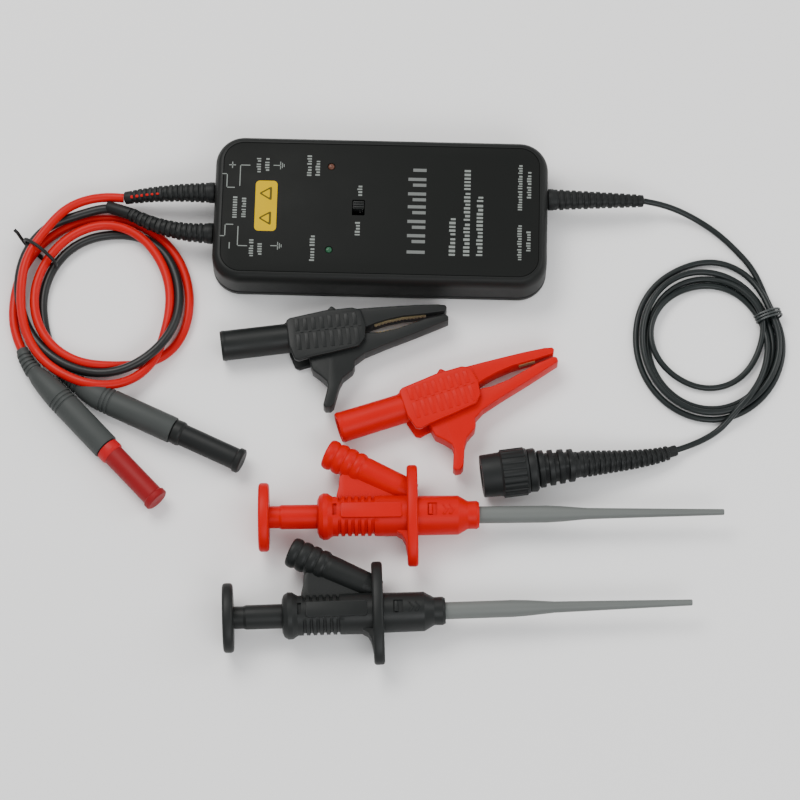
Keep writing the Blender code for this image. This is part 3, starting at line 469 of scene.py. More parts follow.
# ---- Cords
LEAD_WIDTH = 4.2
COAX_WIDTH = 2.8
CORD_STEP = 0.0021
CORD_SMOOTHING = 14
TURN_STEP = 6
RED_START = metres([
    (-116.6, 8.3, 7.3), (-122.0, 9.0, 7.0), (-129.0, 8.4, 7.2), (-137.0, 5.4, 8.2), (-145.0, -0.6, 9.4)])
RED_END = metres([
    (-164.1, -47.0, 3.0), (-163.4, -54.0, 2.8), (-161.2, -60.2, 2.8), (-158.9, -64.6, 2.9),
    (-156.2, -70.3, 3.3), (-152.7, -75.2, 4.0), (-147.6, -81.0, 5.2)])
BLACK_START = metres([
    (-117.5, 3.0, 7.2), (-122.0, 4.2, 6.4), (-127.5, 3.6, 5.8), (-132.0, 2.0, 5.8), (-136.0, 0.2, 5.8)])
BLACK_END = metres([
    (-146.2, -64.2, 2.9), (-144.4, -68.8, 2.9), (-141.5, -73.0, 2.9), (-138.4, -76.4, 3.2),
    (-134.2, -79.7, 3.8), (-128.6, -83.4, 4.9)])
COAX_START = metres([
    (118.7, 11.8, 9.2), (127.0, 11.2, 7.4), (136.0, 9.0, 4.6), (145.0, 5.0, 2.2), (153.5, -0.8, 1.6),
    (162.0, -9.6, 1.6), (169.0, -18.0, 1.6)])
COAX_END = metres([
    (156.0, -92.0, 1.6), (152.0, -95.6, 1.6), (145.0, -100.0, 2.0), (138.6, -103.2, 2.8),
    (134.0, -105.0, 3.5), (125.0, -108.3, 4.6), (117.0, -110.4, 6.0)])
LEAD_COIL_CENTRE = (-0.1228, -0.0418)
LEAD_COIL_STRETCH = 1.07
COAX_COIL_CENTRE = (0.1485, -0.0515)
COAX_COIL_STRETCH = 1.12
# Each row is the angle in degrees, then the distance from the coil's middle and the height in millimetres.
RED_TURNS = [
    (150, 40.6, 9.6), (165, 38.8, 9.2), (180, 37.7, 8.0), (200, 37.6, 6.5), (225, 37.6, 6.0),
    (244, 37.3, 7.8), (258, 38.4, 9.9), (272, 38.8, 9.6), (288, 38.2, 7.8), (300, 36.9, 6.3),
    (315, 34.4, 5.9), (330, 31.2, 5.9), (345, 29.8, 5.9), (360, 29.5, 5.9), (385, 30.2, 5.9),
    (405, 31.5, 5.9), (430, 34.2, 5.9), (450, 35.4, 5.9), (475, 34.6, 5.9), (495, 33.4, 5.9),
    (515, 32.6, 5.9), (540, 32.1, 5.9), (570, 31.0, 5.9), (600, 29.5, 5.9), (630, 28.5, 5.9),
    (645, 29.2, 5.2), (660, 31.5, 3.8), (675, 34.6, 2.2), (690, 37.2, 2.0), (705, 38.0, 2.6),
    (720, 38.1, 3.4), (765, 38.6, 3.2), (790, 39.2, 2.2), (810, 39.6, 2.0), (840, 40.2, 2.0),
    (860, 40.8, 2.0), (880, 41.1, 2.1), (897, 41.2, 2.6)]
BLACK_TURNS = [
    (125, 43.6, 5.5), (138, 43.8, 5.4), (150, 42.9, 5.4), (165, 41.0, 5.2), (180, 38.8, 4.2),
    (195, 36.6, 3.4), (210, 35.0, 3.8), (222, 34.0, 5.2), (237, 33.2, 6.2), (250, 32.6, 6.2),
    (270, 32.3, 6.2), (285, 32.5, 7.6), (300, 32.8, 9.4), (315, 33.0, 9.8), (330, 33.4, 9.3),
    (345, 33.7, 7.4), (360, 33.7, 6.4), (385, 34.2, 5.2), (405, 35.0, 4.0), (420, 34.8, 2.6),
    (435, 33.4, 2.0), (450, 31.9, 2.4), (475, 30.8, 2.8), (495, 29.8, 2.8), (520, 28.8, 2.6),
    (540, 28.4, 2.4), (560, 28.6, 2.1), (572, 29.6, 2.1)]
COAX_TURNS = [
    (30, 30.8, 1.5), (15, 32.0, 1.5), (0, 33.4, 1.5), (-45, 34.2, 1.5), (-90, 34.6, 1.5), (-135, 33.8, 1.5),
    (-180, 33.2, 1.5), (-205, 33.6, 1.5), (-225, 33.4, 1.5), (-250, 33.0, 1.5), (-270, 33.9, 1.5),
    (-295, 33.4, 1.5), (-315, 31.6, 2.6), (-338, 29.8, 4.2), (-360, 31.6, 4.0), (-405, 32.2, 3.9),
    (-450, 32.4, 3.9), (-495, 31.2, 3.9), (-540, 30.2, 3.9), (-585, 30.4, 3.9), (-610, 29.6, 3.6),
    (-630, 28.8, 3.0), (-655, 28.2, 2.0), (-675, 27.9, 1.6), (-698, 27.6, 1.5), (-720, 29.0, 1.5),
    (-765, 30.0, 1.5), (-810, 30.1, 1.5), (-855, 29.2, 1.5), (-900, 28.0, 1.5), (-945, 27.6, 1.5),
    (-990, 26.3, 1.6), (-1015, 26.0, 2.8), (-1035, 25.9, 4.0), (-1058, 26.2, 4.1), (-1080, 23.8, 2.6),
    (-1100, 22.4, 1.6), (-1125, 21.8, 1.5), (-1170, 21.4, 1.5), (-1205, 22.2, 2.0), (-1230, 24.6, 3.6),
    (-1260, 27.0, 4.2), (-1285, 26.4, 4.0), (-1305, 25.0, 3.0), (-1330, 23.8, 1.8), (-1350, 23.5, 1.5),
    (-1395, 24.0, 1.5), (-1418, 24.6, 1.6), (-1440, 26.4, 3.2), (-1460, 27.2, 4.3), (-1485, 29.6, 5.6),
    (-1500, 31.6, 6.7), (-1512, 33.6, 5.6)]


def eased(table, degrees):
    """The distance and height between the rows of a table, on a cubic through them."""
    keys = [row[0] for row in table]
    forward = keys[-1] > keys[0]
    index = 0
    while index < len(keys) - 2 and (keys[index + 1] < degrees) == forward:
        index += 1
    rows = [table[max(index - 1, 0)], table[index], table[index + 1], table[min(index + 2, len(table) - 1)]]
    t = (degrees - rows[1][0]) / (rows[2][0] - rows[1][0])
    values = []
    for column in (1, 2):
        before = (rows[2][column] - rows[0][column]) / (rows[2][0] - rows[0][0]) * (rows[2][0] - rows[1][0])
        after = (rows[3][column] - rows[1][column]) / (rows[3][0] - rows[1][0]) * (rows[2][0] - rows[1][0])
        start, end = rows[1][column], rows[2][column]
        values.append(start * (2 * t ** 3 - 3 * t ** 2 + 1) + before * (t ** 3 - 2 * t ** 2 + t)
                      + end * (3 * t ** 2 - 2 * t ** 3) + after * (t ** 3 - t ** 2))
    return values


def turns(table, centre, stretch):
    """Points along the turns of a coil, which stretch lengthens in Y."""
    points = []
    count = round(abs(table[-1][0] - table[0][0]) / TURN_STEP)
    for step in range(count + 1):
        degrees = table[0][0] + (table[-1][0] - table[0][0]) * step / count
        reach, height = eased(table, degrees)
        angle = math.radians(degrees)
        points.append((centre[0] + reach * MM * math.cos(angle),
                       centre[1] + stretch * reach * MM * math.sin(angle), height * MM))
    return points


def cord(name, stations, width, material, slot, nodes):
    line = smooth(stations, CORD_STEP)
    for _ in range(CORD_SMOOTHING):
        line = [line[0], *((a + b * 2 + c) / 4 for a, b, c in zip(line, line[1:], line[2:])), line[-1]]
    item = piece(tube(name, line, width / 2, 4), material, *nodes, slot=slot)


def make_cords():
    red = RED_START + turns(RED_TURNS, LEAD_COIL_CENTRE, LEAD_COIL_STRETCH) + RED_END
    cord("red_lead", red, LEAD_WIDTH, "lead_red", "lead_red",
         ("red_lead_start", "lead_coil", "red_lead_end"))
    black = BLACK_START + turns(BLACK_TURNS, LEAD_COIL_CENTRE, LEAD_COIL_STRETCH) + BLACK_END
    cord("black_lead", black, LEAD_WIDTH, "lead_black", "rubber_black",
         ("black_lead_start", "lead_coil", "black_lead_end"))
    coax = COAX_START + turns(COAX_TURNS, COAX_COIL_CENTRE, COAX_COIL_STRETCH) + COAX_END
    cord("output_coax", coax, COAX_WIDTH, "coax_grey", "coax_grey",
         ("coax_start", "coax_coil", "coax_end"))


# ---- Probe box
BOX_HALF = tuple((high - low) / 2 / MM for low, high in zip(*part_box("top_shell")))[:2]
BOX_CORNER = 13.0
CASE_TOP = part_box("top_shell")[1][2] / MM
FACE_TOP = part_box("face_sheet")[1][2] / MM
PORT_Z = 12.0
JACK_Y = -14.0
CABLE_PORTS = ((-75, 10.0), (-75, -10.0), (75, 10.2))
SWITCH_SPOT = (-10.0, 0.5)
LABEL_X = -51.5
INK_SINK, INK_LIFT = 0.01, 0.03


def case_ring(height, inset):
    corner = max(BOX_CORNER - inset, 1.0)
    outline = round_rect(BOX_HALF[0] - inset, BOX_HALF[1] - inset, corner, count=16)
    return [Vector((p.x * MM, p.y * MM, height * MM)) for p in outline]


def quarter(start, end, count=10):
    """Heights and insets round an edge, from an upright wall to a flat top or underside."""
    rings = []
    for step in range(count + 1):
        angle = math.pi / 2 * step / count
        rings.append((start[0] + (end[0] - start[0]) * math.sin(angle), end[1] * (1 - math.cos(angle))))
    return rings


def make_case():
    rings = [(CASE_TOP - 2.0, 5.6), (15.4, 2.0), (5.0, 2.0), (5.0, 0.55), (5.5, 0.5), (5.7, 0.0),
             *quarter((15.4, 0.0), (CASE_TOP, 3.5)),
             (CASE_TOP, 3.72), (CASE_TOP - 0.12, 3.78), (CASE_TOP - 1.0, 3.78)]
    shell = loft("case_top", [case_ring(*ring) for ring in rings])
    holes = face_holes()
    for x, y in CABLE_PORTS:
        holes.append(turned("port", [(-4, 3.9), (4, 3.9)], at(x, y, PORT_Z), 32, fillet=0))
    holes.append(turned("jack_port", [(-4, 4.6), (4, 4.6)], at(75, JACK_Y, PORT_Z), 32, fillet=0))
    piece(cut(shell, *holes), "case_black", "top_shell")

    rings = [(2.0, 4.0), (2.3, 2.6), (4.7, 2.0), (4.7, 0.55), (4.5, 0.5), (4.3, 0.0),
             *quarter((2.6, 0.0), (0.0, 2.6))]
    base = loft("case_bottom", [case_ring(*ring) for ring in rings])
    well = [(-1, 2.7), (1.6, 2.7), (1.6, 1.6), (5, 1.6)]
    wells = [turned("well", well, upright(f"case_screw_{index}"), 24, fillet=0) for index in range(1, 5)]
    piece(cut(base, *wells), "case_black", "bottom_shell")


def face_holes():
    holes = [turned("lamp_hole", [(FACE_TOP - 4, 1.75), (FACE_TOP + 3, 1.75)], upright(node), 32, fillet=0)
             for node in ("power_led", "over_range_led")]
    holes.append(slab("switch_hole", round_rect(2.85, 3.75, 0.5, 4), FACE_TOP - 4, FACE_TOP + 3,
                      place=at(*SWITCH_SPOT)))
    return holes


def make_face():
    low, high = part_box("face_sheet")
    sheet = slab("face_film", round_rect((high[0] - low[0]) / 2 / MM, (high[1] - low[1]) / 2 / MM, 9.0, 14),
                 low[2] / MM, high[2] / MM, edge=0.12)
    piece(cut(sheet, *face_holes()), "face_black", "face_sheet")


def ink(bm, x0, x1, y0, y1):
    """One rectangle of print, as a thin pad on the face."""
    low, high = FACE_TOP - INK_SINK, FACE_TOP + INK_LIFT
    made = bmesh.ops.create_cube(bm, size=1.0)["verts"]
    bmesh.ops.scale(bm, vec=((x1 - x0) * MM, (y1 - y0) * MM, (high - low) * MM), verts=made)
    bmesh.ops.translate(bm, vec=((x0 + x1) / 2 * MM, (y0 + y1) / 2 * MM, (low + high) / 2 * MM), verts=made)


def ink_words(bm, x, y0, y1, height, chance):
    """A line of dummy print: blocks the size of letters, gathered into words, with no letter among them."""
    letter, gap = height * 0.40, height * 0.27
    y, since = y0, 0
    while y + letter <= y1 + 0.01:
        wide = letter * chance.uniform(0.75, 1.1)
        low = x - height / 2 + (chance.random() < 0.3) * height * 0.22
        ink(bm, low, x + height / 2, y, min(y + wide, y1))
        since += 1
        y += wide + gap
        if since > 3 and chance.random() < 0.3:
            y, since = y + letter * 0.6, 0


def ink_stroke(bm, points, width):
    """A thin line made of upright and level strokes."""
    for (xa, ya), (xb, yb) in zip(points, points[1:]):
        ink(bm, min(xa, xb) - width / 2, max(xa, xb) + width / 2,
            min(ya, yb) - width / 2, max(ya, yb) + width / 2)


# Lines of dummy print: the line's place in X, its start and end in Y, and its letters' height.
PRINT_LINES = (
    (-55.4, 16.6, 24.8, 1.9), (-51.6, 17.4, 24.0, 1.9), (-57.4, -24.2, -15.6, 1.9),
    (-53.6, -23.4, -16.6, 1.9), (-65.4, -5.8, 5.8, 1.9), (-61.4, -5.4, 5.0, 1.9), (-32.6, 15.4, 25.6, 2.0),
    (-28.8, 15.6, 24.6, 2.0),
    (-30.2, -25.8, -13.2, 2.2), (-9.6, 6.2, 12.4, 2.2), (-10.2, -13.0, -5.4, 2.2), (32.3, -21.8, -2.6, 2.8),
    (38.7, -21.8, 21.2, 2.8), (44.5, -21.6, 7.8, 2.8), (62.4, 0.9, 23.6, 1.9), (66.4, 6.8, 20.6, 1.9),
    (62.4, -23.2, -5.0, 1.9), (66.4, -18.8, -9.0, 1.9))
# The plus and minus signs, then the pulse drawn beside each input: points, and the width of the stroke.
PRINT_STROKES = (
    (((-67.2, 18.7), (-67.2, 21.3)), 0.45), (((-67.2, -20.5), (-67.2, -17.9)), 0.45),
    (((-68.5, 20.0), (-65.9, 20.0)), 0.44),
    (((-59.4, 20.0), (-63.6, 20.0), (-63.6, 10.0)), 0.42),
    (((-59.4, -19.2), (-63.6, -19.2), (-63.6, -10.0)), 0.42),
    (((-71.4, 15.6), (-69.4, 15.6), (-69.4, 9.0), (-66.0, 9.0)), 0.42),
    (((-71.4, -14.6), (-69.4, -14.6), (-69.4, -9.0), (-66.0, -9.0)), 0.42))
EARTH_SIGNS_Y = (20.2, -18.9)


def make_print():
    chance = random.Random(7)
    bm = bmesh.new()
    for line in PRINT_LINES:
        ink_words(bm, *line, chance)
    for points, width in PRINT_STROKES:
        ink_stroke(bm, points, width)
    for y in EARTH_SIGNS_Y:
        ink_stroke(bm, [(-48.6, y), (-45.6, y)], 0.4)
        for step, half in enumerate((1.7, 1.1, 0.5)):
            x = -45.6 + 0.8 * step
            ink_stroke(bm, [(x, y - half), (x, y + half)], 0.36)
    piece(add_mesh("face_print", bm), "print_grey", slot="face_black")

    bm = bmesh.new()
    y = -21.2
    for wide in (6.6, 5.6, 5.8, 5.0, 5.8, 6.0):
        ink(bm, 12.1, 20.2, y, y + 1.5)
        ink(bm, 14.2, 20.2, y + wide - 1.5, y + wide)
        y += wide + 1.3
    piece(add_mesh("face_band", bm), "print_dim", slot="face_black")

    label = slab("yellow_label", round_rect(4.9, 12.2, 1.9, 6), FACE_TOP - 0.01, FACE_TOP + 0.06, edge=0.02,
                 place=at(LABEL_X, 0.4))
    piece(label, "label_yellow", slot="face_black")
    signs = []
    corners = [Vector((-3.4, 0.0)), Vector((2.5, 3.6)), Vector((2.5, -3.6))]
    for y in (-5.6, 6.4):
        here = at(LABEL_X, y)
        sign = slab("sign", corners, FACE_TOP + 0.05, FACE_TOP + 0.09, fillet=0.7, place=here)
        hollow = slab("hollow", [c * 0.62 for c in corners], FACE_TOP, FACE_TOP + 1, fillet=0.4, place=here)
        signs.append(cut(sign, hollow))
    piece(merge("label_shapes", *signs), "label_ink", slot="face_black")


def make_box_fittings():
    for node, material in (("power_led", "led_green"), ("over_range_led", "led_amber")):
        low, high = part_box(node)
        top = high[2] / MM
        dome = [(low[2] / MM, 1.9), (16.0, 1.9), (16.0, 1.5), (top - 1.0, 1.5), (top - 0.35, 1.25),
                (top, 0.5)]
        lens = turned(f"{node}_lens", dome, upright(node), 32, fillet=0.3)
        piece(lens, material, node)

    low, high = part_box("range_switch_slider")
    base_top = low[2] / MM + 2.2
    spot = middle("range_switch_slider")
    here = Matrix.Translation((spot.x, spot.y, 0))
    base = slab("slider", round_rect(2.9, 3.3, 0.3, 3), low[2] / MM, base_top, edge=0.1, place=here)
    knob = slab("knob", round_rect(2.45, 1.85, 0.3, 3), base_top - 0.5, high[2] / MM - 0.5, place=here)
    ridges = [slab("ridge", round_rect(2.2, 0.24, 0.1, 2), high[2] / MM - 1.0, high[2] / MM, edge=0.08,
                   place=Matrix.Translation((spot.x, spot.y + y * MM, 0))) for y in (-1.2, 0.0, 1.2)]
    piece(union(base, knob, *ridges), "clip_black", "range_switch_slider", body="range_switch")

    low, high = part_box("dc_jack")
    here = at(high[0] / MM, JACK_Y, PORT_Z)
    rim = 0.0014
    body = slab("jack", round_rect((high[0] - low[0] - rim) / 2 / MM, 4.6, 0.4, 3), low[2] / MM, high[2] / MM,
                edge=0.2, place=Matrix.Translation(((low[0] + high[0] - rim) / 2, JACK_Y * MM, 0)))
    nose = turned("nose", [(-5, 4.2), (0.0, 4.2)], here, 40, fillet=0)
    bore = turned("bore", [(-9, 2.9), (2, 2.9)], here, 40, fillet=0)
    pin = turned("jack_pin", [(-9.5, 0.9), (-1.2, 0.9), (-0.6, 0.5)], here, 20, fillet=0.2)
    piece(cut(union(body, nose), bore), "clip_black", "dc_jack", slot="case_black")
    piece(pin, "nickel")


# ---- Cable exits
RED_RELIEF = metres([
    (-75.3, 10.0, 12.0), (-89.0, 9.8, 11.6), (-103.0, 9.2, 10.2), (-116.0, 8.2, 7.6)])
BLACK_RELIEF = metres([
    (-75.3, -10.0, 12.0), (-88.0, -9.4, 12.0), (-99.4, -6.7, 11.3), (-108.6, -2.5, 9.6), (-117.0, 2.4, 7.4),
    (-124.0, 4.4, 6.2)])
OUTPUT_RELIEF = metres([
    (75.3, 10.2, 12.0), (90.0, 10.6, 11.6), (105.0, 11.2, 10.6), (118.4, 11.8, 9.2)])


def slotted(pitch, depth, first, last, phase=0.0):
    """A wave that turns every second rib into a pair of bridges, the slotted shape of a sleeve made to flex.
    """

    def wave(along, angle):
        if not first < along < last:
            return 0.0
        rib = int((along - first) / pitch)
        side = angle + phase + (math.pi / 2 if rib % 2 else 0.0)
        return -depth * max(0.0, min(1.0, 4.0 * (abs(math.cos(side)) - 0.80)))

    return wave


def ribbed(first, last, radius_first, radius_last, pitch, valley, crest=0.62):
    """Square-shouldered ribs on a taper: (along, radius) rows."""
    rows, along = [], first
    while along + pitch <= last + 0.01:
        share = (along - first) / (last - first)
        radius = radius_first + (radius_last - radius_first) * share
        rows += [(along + 0.02, radius), (along + pitch * crest, radius),
                 (along + pitch * crest + 0.12, radius - valley), (along + pitch - 0.12, radius - valley)]
        along += pitch
    return rows


# Each relief's name, its route, its radius at the box and at the tip, its ribs' pitch, and its plain tail.
RELIEFS = (("red", RED_RELIEF, 4.75, 2.9, 2.35, 2.4),
           ("black", BLACK_RELIEF, 4.75, 2.75, 2.35, 10.0),
           ("output", OUTPUT_RELIEF, 4.9, 2.75, 2.75, 1.6))


def make_reliefs():
    for name, route, big, small, pitch, tail in RELIEFS:
        place, length = along_route(route)
        first, last = 2.4, length - tail
        count = int((last - first) / pitch)
        last = first + count * pitch
        taper = small + 0.2
        rows = [(-4.0, 3.4), (0.0, 3.4), (0.0, big), (first - 0.4, big)]
        rows += ribbed(first, last, big - 0.1, taper, pitch, 0.6)
        rows += [(last, taper - 0.1), (length - 0.3, small), (length, small - 0.4), (length, 1.2)]
        relief = turned(f"{name}_relief", rows, place, 40, wave=slotted(pitch, 0.55, first, last),
                        fillet=0.22, count=2)
        piece(relief, "rubber_black", f"{name}_strain_relief")
        if name != "red":
            continue
        windows = []
        for index in range(6):
            along = last - pitch * (index + 0.2)
            radius = taper + (big - taper) * (last - along) / (last - first)
            spot = place(along) @ Matrix.Rotation(math.radians(-20), 4, "X")
            outline = oval(0.75, 0.72 - 0.05 * index, 20)
            windows.append(slab("window", outline, radius - 0.75, radius - 0.04, edge=0.1, place=spot))
        piece(merge("red_relief_windows", *windows), "lead_red")


# ---- Banana plugs
RED_GRIP = RED_END[3:] + metres([(-141.2, -87.7, 6.0)])
BLACK_GRIP = BLACK_END[2:] + metres([(-122.1, -87.5, 6.0)])
GRIP_GROWTH = [(0.0, 2.8), (6.5, 3.15), (12.5, 3.95), (20.3, 5.15), (29.0, 5.95)]


def grip_radius(along, scale):
    for (a, ra), (b, rb) in zip(GRIP_GROWTH, GRIP_GROWTH[1:]):
        if along <= b * scale:
            return ra + (rb - ra) * (along / scale - a) / (b - a)
    return GRIP_GROWTH[-1][1]


def make_plugs():
    for colour, route, finish, band_finish in (("red", RED_GRIP, "cap_red", "collar_red"),
                                               ("black", BLACK_GRIP, "rubber_black", "clip_black")):
        axis = axis_frame(middle(f"{colour}_cap"), JOINTS[f"{colour}_cap_pull"]["axis"], 17.15)
        front = axis @ Vector((-0.0002, 0, 0))
        place, length = along_route([*route, front])
        bend = length - (front - Vector(route[-1])).length / MM
        scale = bend / GRIP_GROWTH[-1][0]
        rows = [(0.0, 1.6), (0.0, 2.7), (1.2, 2.8)]
        for index in range(5):
            along = 2.2 + index * 2.1
            radius = grip_radius(along, scale)
            rows += [(along, radius + 0.28), (along + 1.2, radius + 0.34), (along + 1.25, radius - 0.15),
                     (along + 2.0, radius - 0.1)]
        for share in (0.55, 0.75, 0.92):
            rows.append((bend * share, grip_radius(bend * share, scale)))
        for index in range(3):
            along = bend + 1.0 + index * 1.9
            rows += [(along, 5.95), (along + 0.05, 5.5), (along + 0.8, 5.5), (along + 0.85, 5.95)]
        rows += [(length - 0.3, 6.0), (length, 5.8), (length, 4.2), (length - 12, 4.2)]
        grip = turned(f"{colour}_grip", rows, place, 48, fillet=0.18, count=2)
        piece(grip, "grip_grey", f"{colour}_plug_grip")

        end, wall = 34.0, 4.15
        rows = [(4.3, 4.9), (end - 3.2, 4.9), (end - 2.6, 5.6), (end - 0.6, 5.6), (end, 4.8), (end, 0.02),
                (end - 2.5, 0.02), (end - 2.5, wall), (4.3, wall)]
        cap = turned(f"{colour}_plug_cap", rows, axis, 48, bored=True, fillet=0.3)
        piece(cap, finish, f"{colour}_cap", body=f"{colour}_plug_cap")
        rows = [(0.3, 5.45), (3.4, 5.6), (4.3, 5.35), (4.8, 4.9), (4.8, wall), (0.3, wall)]
        band = turned(f"{colour}_cap_band", rows, axis, 48, bored=True, fillet=0.25)
        piece(band, band_finish, body=f"{colour}_plug_cap", slot=finish)


# ---- BNC plug
BOOT_BEND = metres([
    (87.0, -115.8, 10.5), (97.0, -114.1, 9.4), (113.0, -111.3, 6.8), (125.0, -108.3, 4.6),
    (133.7, -105.1, 3.5)])


def make_bnc():
    joint = JOINTS["bnc_collar_turn"]
    axis = axis_frame(joint["pos_m"], joint["axis"])

    def flutes(along, angle):
        if not 8.9 < along < 19.4:
            return 0.0
        return -0.5 * max(0.0, math.cos(21 * angle)) ** 2

    collar = [(0.0, 5.0), (0.0, 9.35), (8.2, 9.7), (8.9, 10.15), (9.0, 10.68), (19.3, 10.68), (19.4, 10.3),
              (20.5, 9.9), (20.5, 4.6), (12.5, 4.6), (12.5, 5.0)]
    ring = turned("bnc_lock_ring", collar, axis, 144, bored=True, wave=flutes, fillet=0.25)
    piece(ring, "rubber_black", "bnc_collar", body="bnc_lock_collar")

    straight = [axis @ Vector((x * MM, 0, 0)) for x in (20.8, 25.0, 30.0, 34.0)]
    place, length = along_route([*straight, *BOOT_BEND])
    rows = [(11.5, 4.6), (0.0, 4.6), (0.0, 9.6), (3.0, 9.7), (3.7, 8.9), (4.0, 7.2)]
    rows += ribbed(4.6, 21.8, 8.3, 7.0, 4.3, 1.5, crest=0.55)
    rows += [(22.0, 5.6), (23.6, 5.6)]
    rows += ribbed(23.8, length - 1.2, 6.0, 2.95, 2.4, 0.85, crest=0.55)
    rows += [(length - 1.0, 2.5), (length - 0.3, 2.4), (length, 2.1), (length, 1.2)]
    big = slotted(4.3, 1.0, 4.6, 21.8, 0.6)
    little = slotted(2.4, 0.5, 23.8, length - 1.2, 0.6)
    sleeve = turned("bnc_sleeve", rows, place, 56, wave=lambda along, angle: big(along, angle)
                    + little(along, angle), fillet=0.3, count=2)
    piece(sleeve, "rubber_black", "bnc_boot")

    shell = turned("bnc_barrel", [(32.0, 3.0), (32.0, 4.3), (1.0, 4.3), (1.0, 3.6), (11.0, 3.6), (11.0, 3.0)],
                   axis, 48, bored=True, fillet=0.15)
    piece(shell, "nickel", "bnc_shell")


# ---- Alligator clips
CLIP_PIVOT = Vector((47.0, -3.0))
BLADE = [
    (28, 5.0), (31.8, 7.2), (48.2, 9.1), (50.0, 10.6), (50.8, 11.3), (51.8, 10.8), (53.6, 9.0), (70.2, 8.3),
    (88.6, 7.2), (98.4, 6.2), (101.6, 5.4), (102.2, 4.2), (101.2, 2.5), (92.4, 2.4), (82, 2.6), (74.6, 1.8),
    (68.7, 0.6), (64.5, -0.8), (60, 4.6), (34, 4.6), (33, 2), (28, 2)]
CHEEK = [
    (30, 6), (31.8, 7.1), (48.2, 8.8), (60.0, 8.6), (63.8, 7.0), (65.0, 0), (64.0, -6.5), (60.8, -10.0),
    (49.5, -11.5), (38.3, -12.7), (33.7, -13.6), (31.8, -12.7), (30, -6)]
LOWER_JAW = [
    (101.0, 1.2), (102.2, 0.4), (102.2, -1.6), (87, -6), (72.8, -9.8), (63.2, -12.7), (58.3, -15.7),
    (58.0, -18.0), (56.8, -20.1), (52.2, -23.0), (50.0, -26.4), (46.6, -35.0), (45.0, -36.2), (42.6, -36.0),
    (41.8, -34.6), (45.0, -26.2), (44.8, -24.0), (42.5, -21.2), (39.1, -17.8), (38.3, -12.5), (38.6, -3.0),
    (41.0, 1.0), (45.0, 3.0), (50.0, 3.4), (56.0, 2.6), (64.5, -3.0), (70.6, -3.6), (78.8, -2.8),
    (86.5, -1.0), (92.0, 0.4)]


def clip_frame(colour):
    """The clip's own frame: its socket's opening and its pivot give where it lies and which way it points."""
    low, high = (Vector(corner) for corner in OPENINGS[f"{colour}_clip_socket"])
    mouth = (low + high) / 2
    pivot = Vector(JOINTS[f"{colour}_jaw_open"]["pos_m"])
    span = pivot - mouth
    ahead = math.sqrt((span.length / MM) ** 2 - CLIP_PIVOT.y ** 2)
    heading = math.atan2(span.y, span.x) - math.atan2(CLIP_PIVOT.y, ahead)
    turn = Matrix.Rotation(heading, 4, "Z")
    origin = pivot - turn @ Vector((CLIP_PIVOT.x * MM, CLIP_PIVOT.y * MM, 0))
    return Matrix.Translation(origin) @ turn


def side_slab(name, outline, side, near, far, **shape):
    """A slab on one side of a clip, between two distances from its middle."""
    low, high = sorted((side * near, side * far))
    return slab(name, outline, low, high, **shape)


def make_clips():
    for colour in COLOURS:
        here = clip_frame(colour)
        material = f"clip_{colour}"
        barrel = [(0.3, 6.3), (0.0, 6.1), (0.0, 6.5), (1.2, 6.9), (2.4, 6.75), (31.0, 6.65), (32.5, 5.6)]
        body = turned(f"{colour}_clip_shell", barrel, here, 56, fillet=0.4)
        union(body, slab("blade", BLADE, -4.6, 4.6, edge=0.9, place=here, fillet=0.8, rounds=3))
        for side in (-1, 1):
            cheek = side_slab("cheek", CHEEK, side, 4.5, 7.05, edge=0.7, place=here, fillet=1.4, rounds=3)
            union(body, cheek)
        ribs = []
        for side in (-1, 1):
            for index in range(8):
                x = 34.6 + 3.7 * index
                for y0, y1 in ((-8.8, -1.2), (0.2, 6.0)):
                    rib = [(x - 0.95, y0), (x + 0.95, y0), (x + 0.95, y1), (x - 0.95, y1)]
                    ribs.append(side_slab("rib", rib, side, 6.7, 7.25, edge=0.18, place=here, fillet=0.3))
            for index in range(8):
                x = 36.4 + 3.7 * index
                stud = [Vector((x, -0.5)) + point for point in oval(0.8, 0.32, 12)]
                ribs.append(side_slab("stud", stud, side, 6.7, 7.3, edge=0.1, place=here))
        union(body, merge("ribs", *ribs))
        socket = turned("socket", [(-3, 4.6), (0.4, 4.35), (22, 4.3)], here, 40, fillet=0)
        pivot = here @ at(*CLIP_PIVOT) @ Matrix.Rotation(-math.pi / 2, 4, "Y")
        seat = turned("seat", [(-6.6, 1.8), (6.6, 1.8)], pivot, 24, fillet=0)
        piece(cut(body, socket, seat), material, f"{colour}_clip_body", body=f"{colour}_clip")

        jaw = slab(f"{colour}_lower_jaw", LOWER_JAW, -4.2, 4.2, edge=0.9, place=here, fillet=0.8, rounds=3)
        pocket = slab("pocket", [(42.75, -7), (51.25, -7), (51.25, 5), (42.75, 5)], -2.0, 2.0, place=here)
        hole = turned("hole", [(-6, 1.8), (6, 1.8)], pivot, 24, fillet=0)
        groove = [(67.5, -2.4), (69, -4.6), (80, -4.4), (93, -0.9), (92.5, 1.4), (80, -1.0)]
        groove = slab("groove", groove, -3.0, 3.0, place=here)
        piece(cut(jaw, pocket, hole, groove), material, f"{colour}_clip_jaw",
              body=f"{colour}_clip_lower_jaw")
        make_teeth(colour, here)


UPPER_EDGE = [(69.0, 0.55), (74.6, 1.7), (82.0, 2.5), (92.4, 2.3)]
LOWER_EDGE = [(69.0, -3.5), (78.8, -2.8), (86.5, -1.0), (93.0, 0.4)]


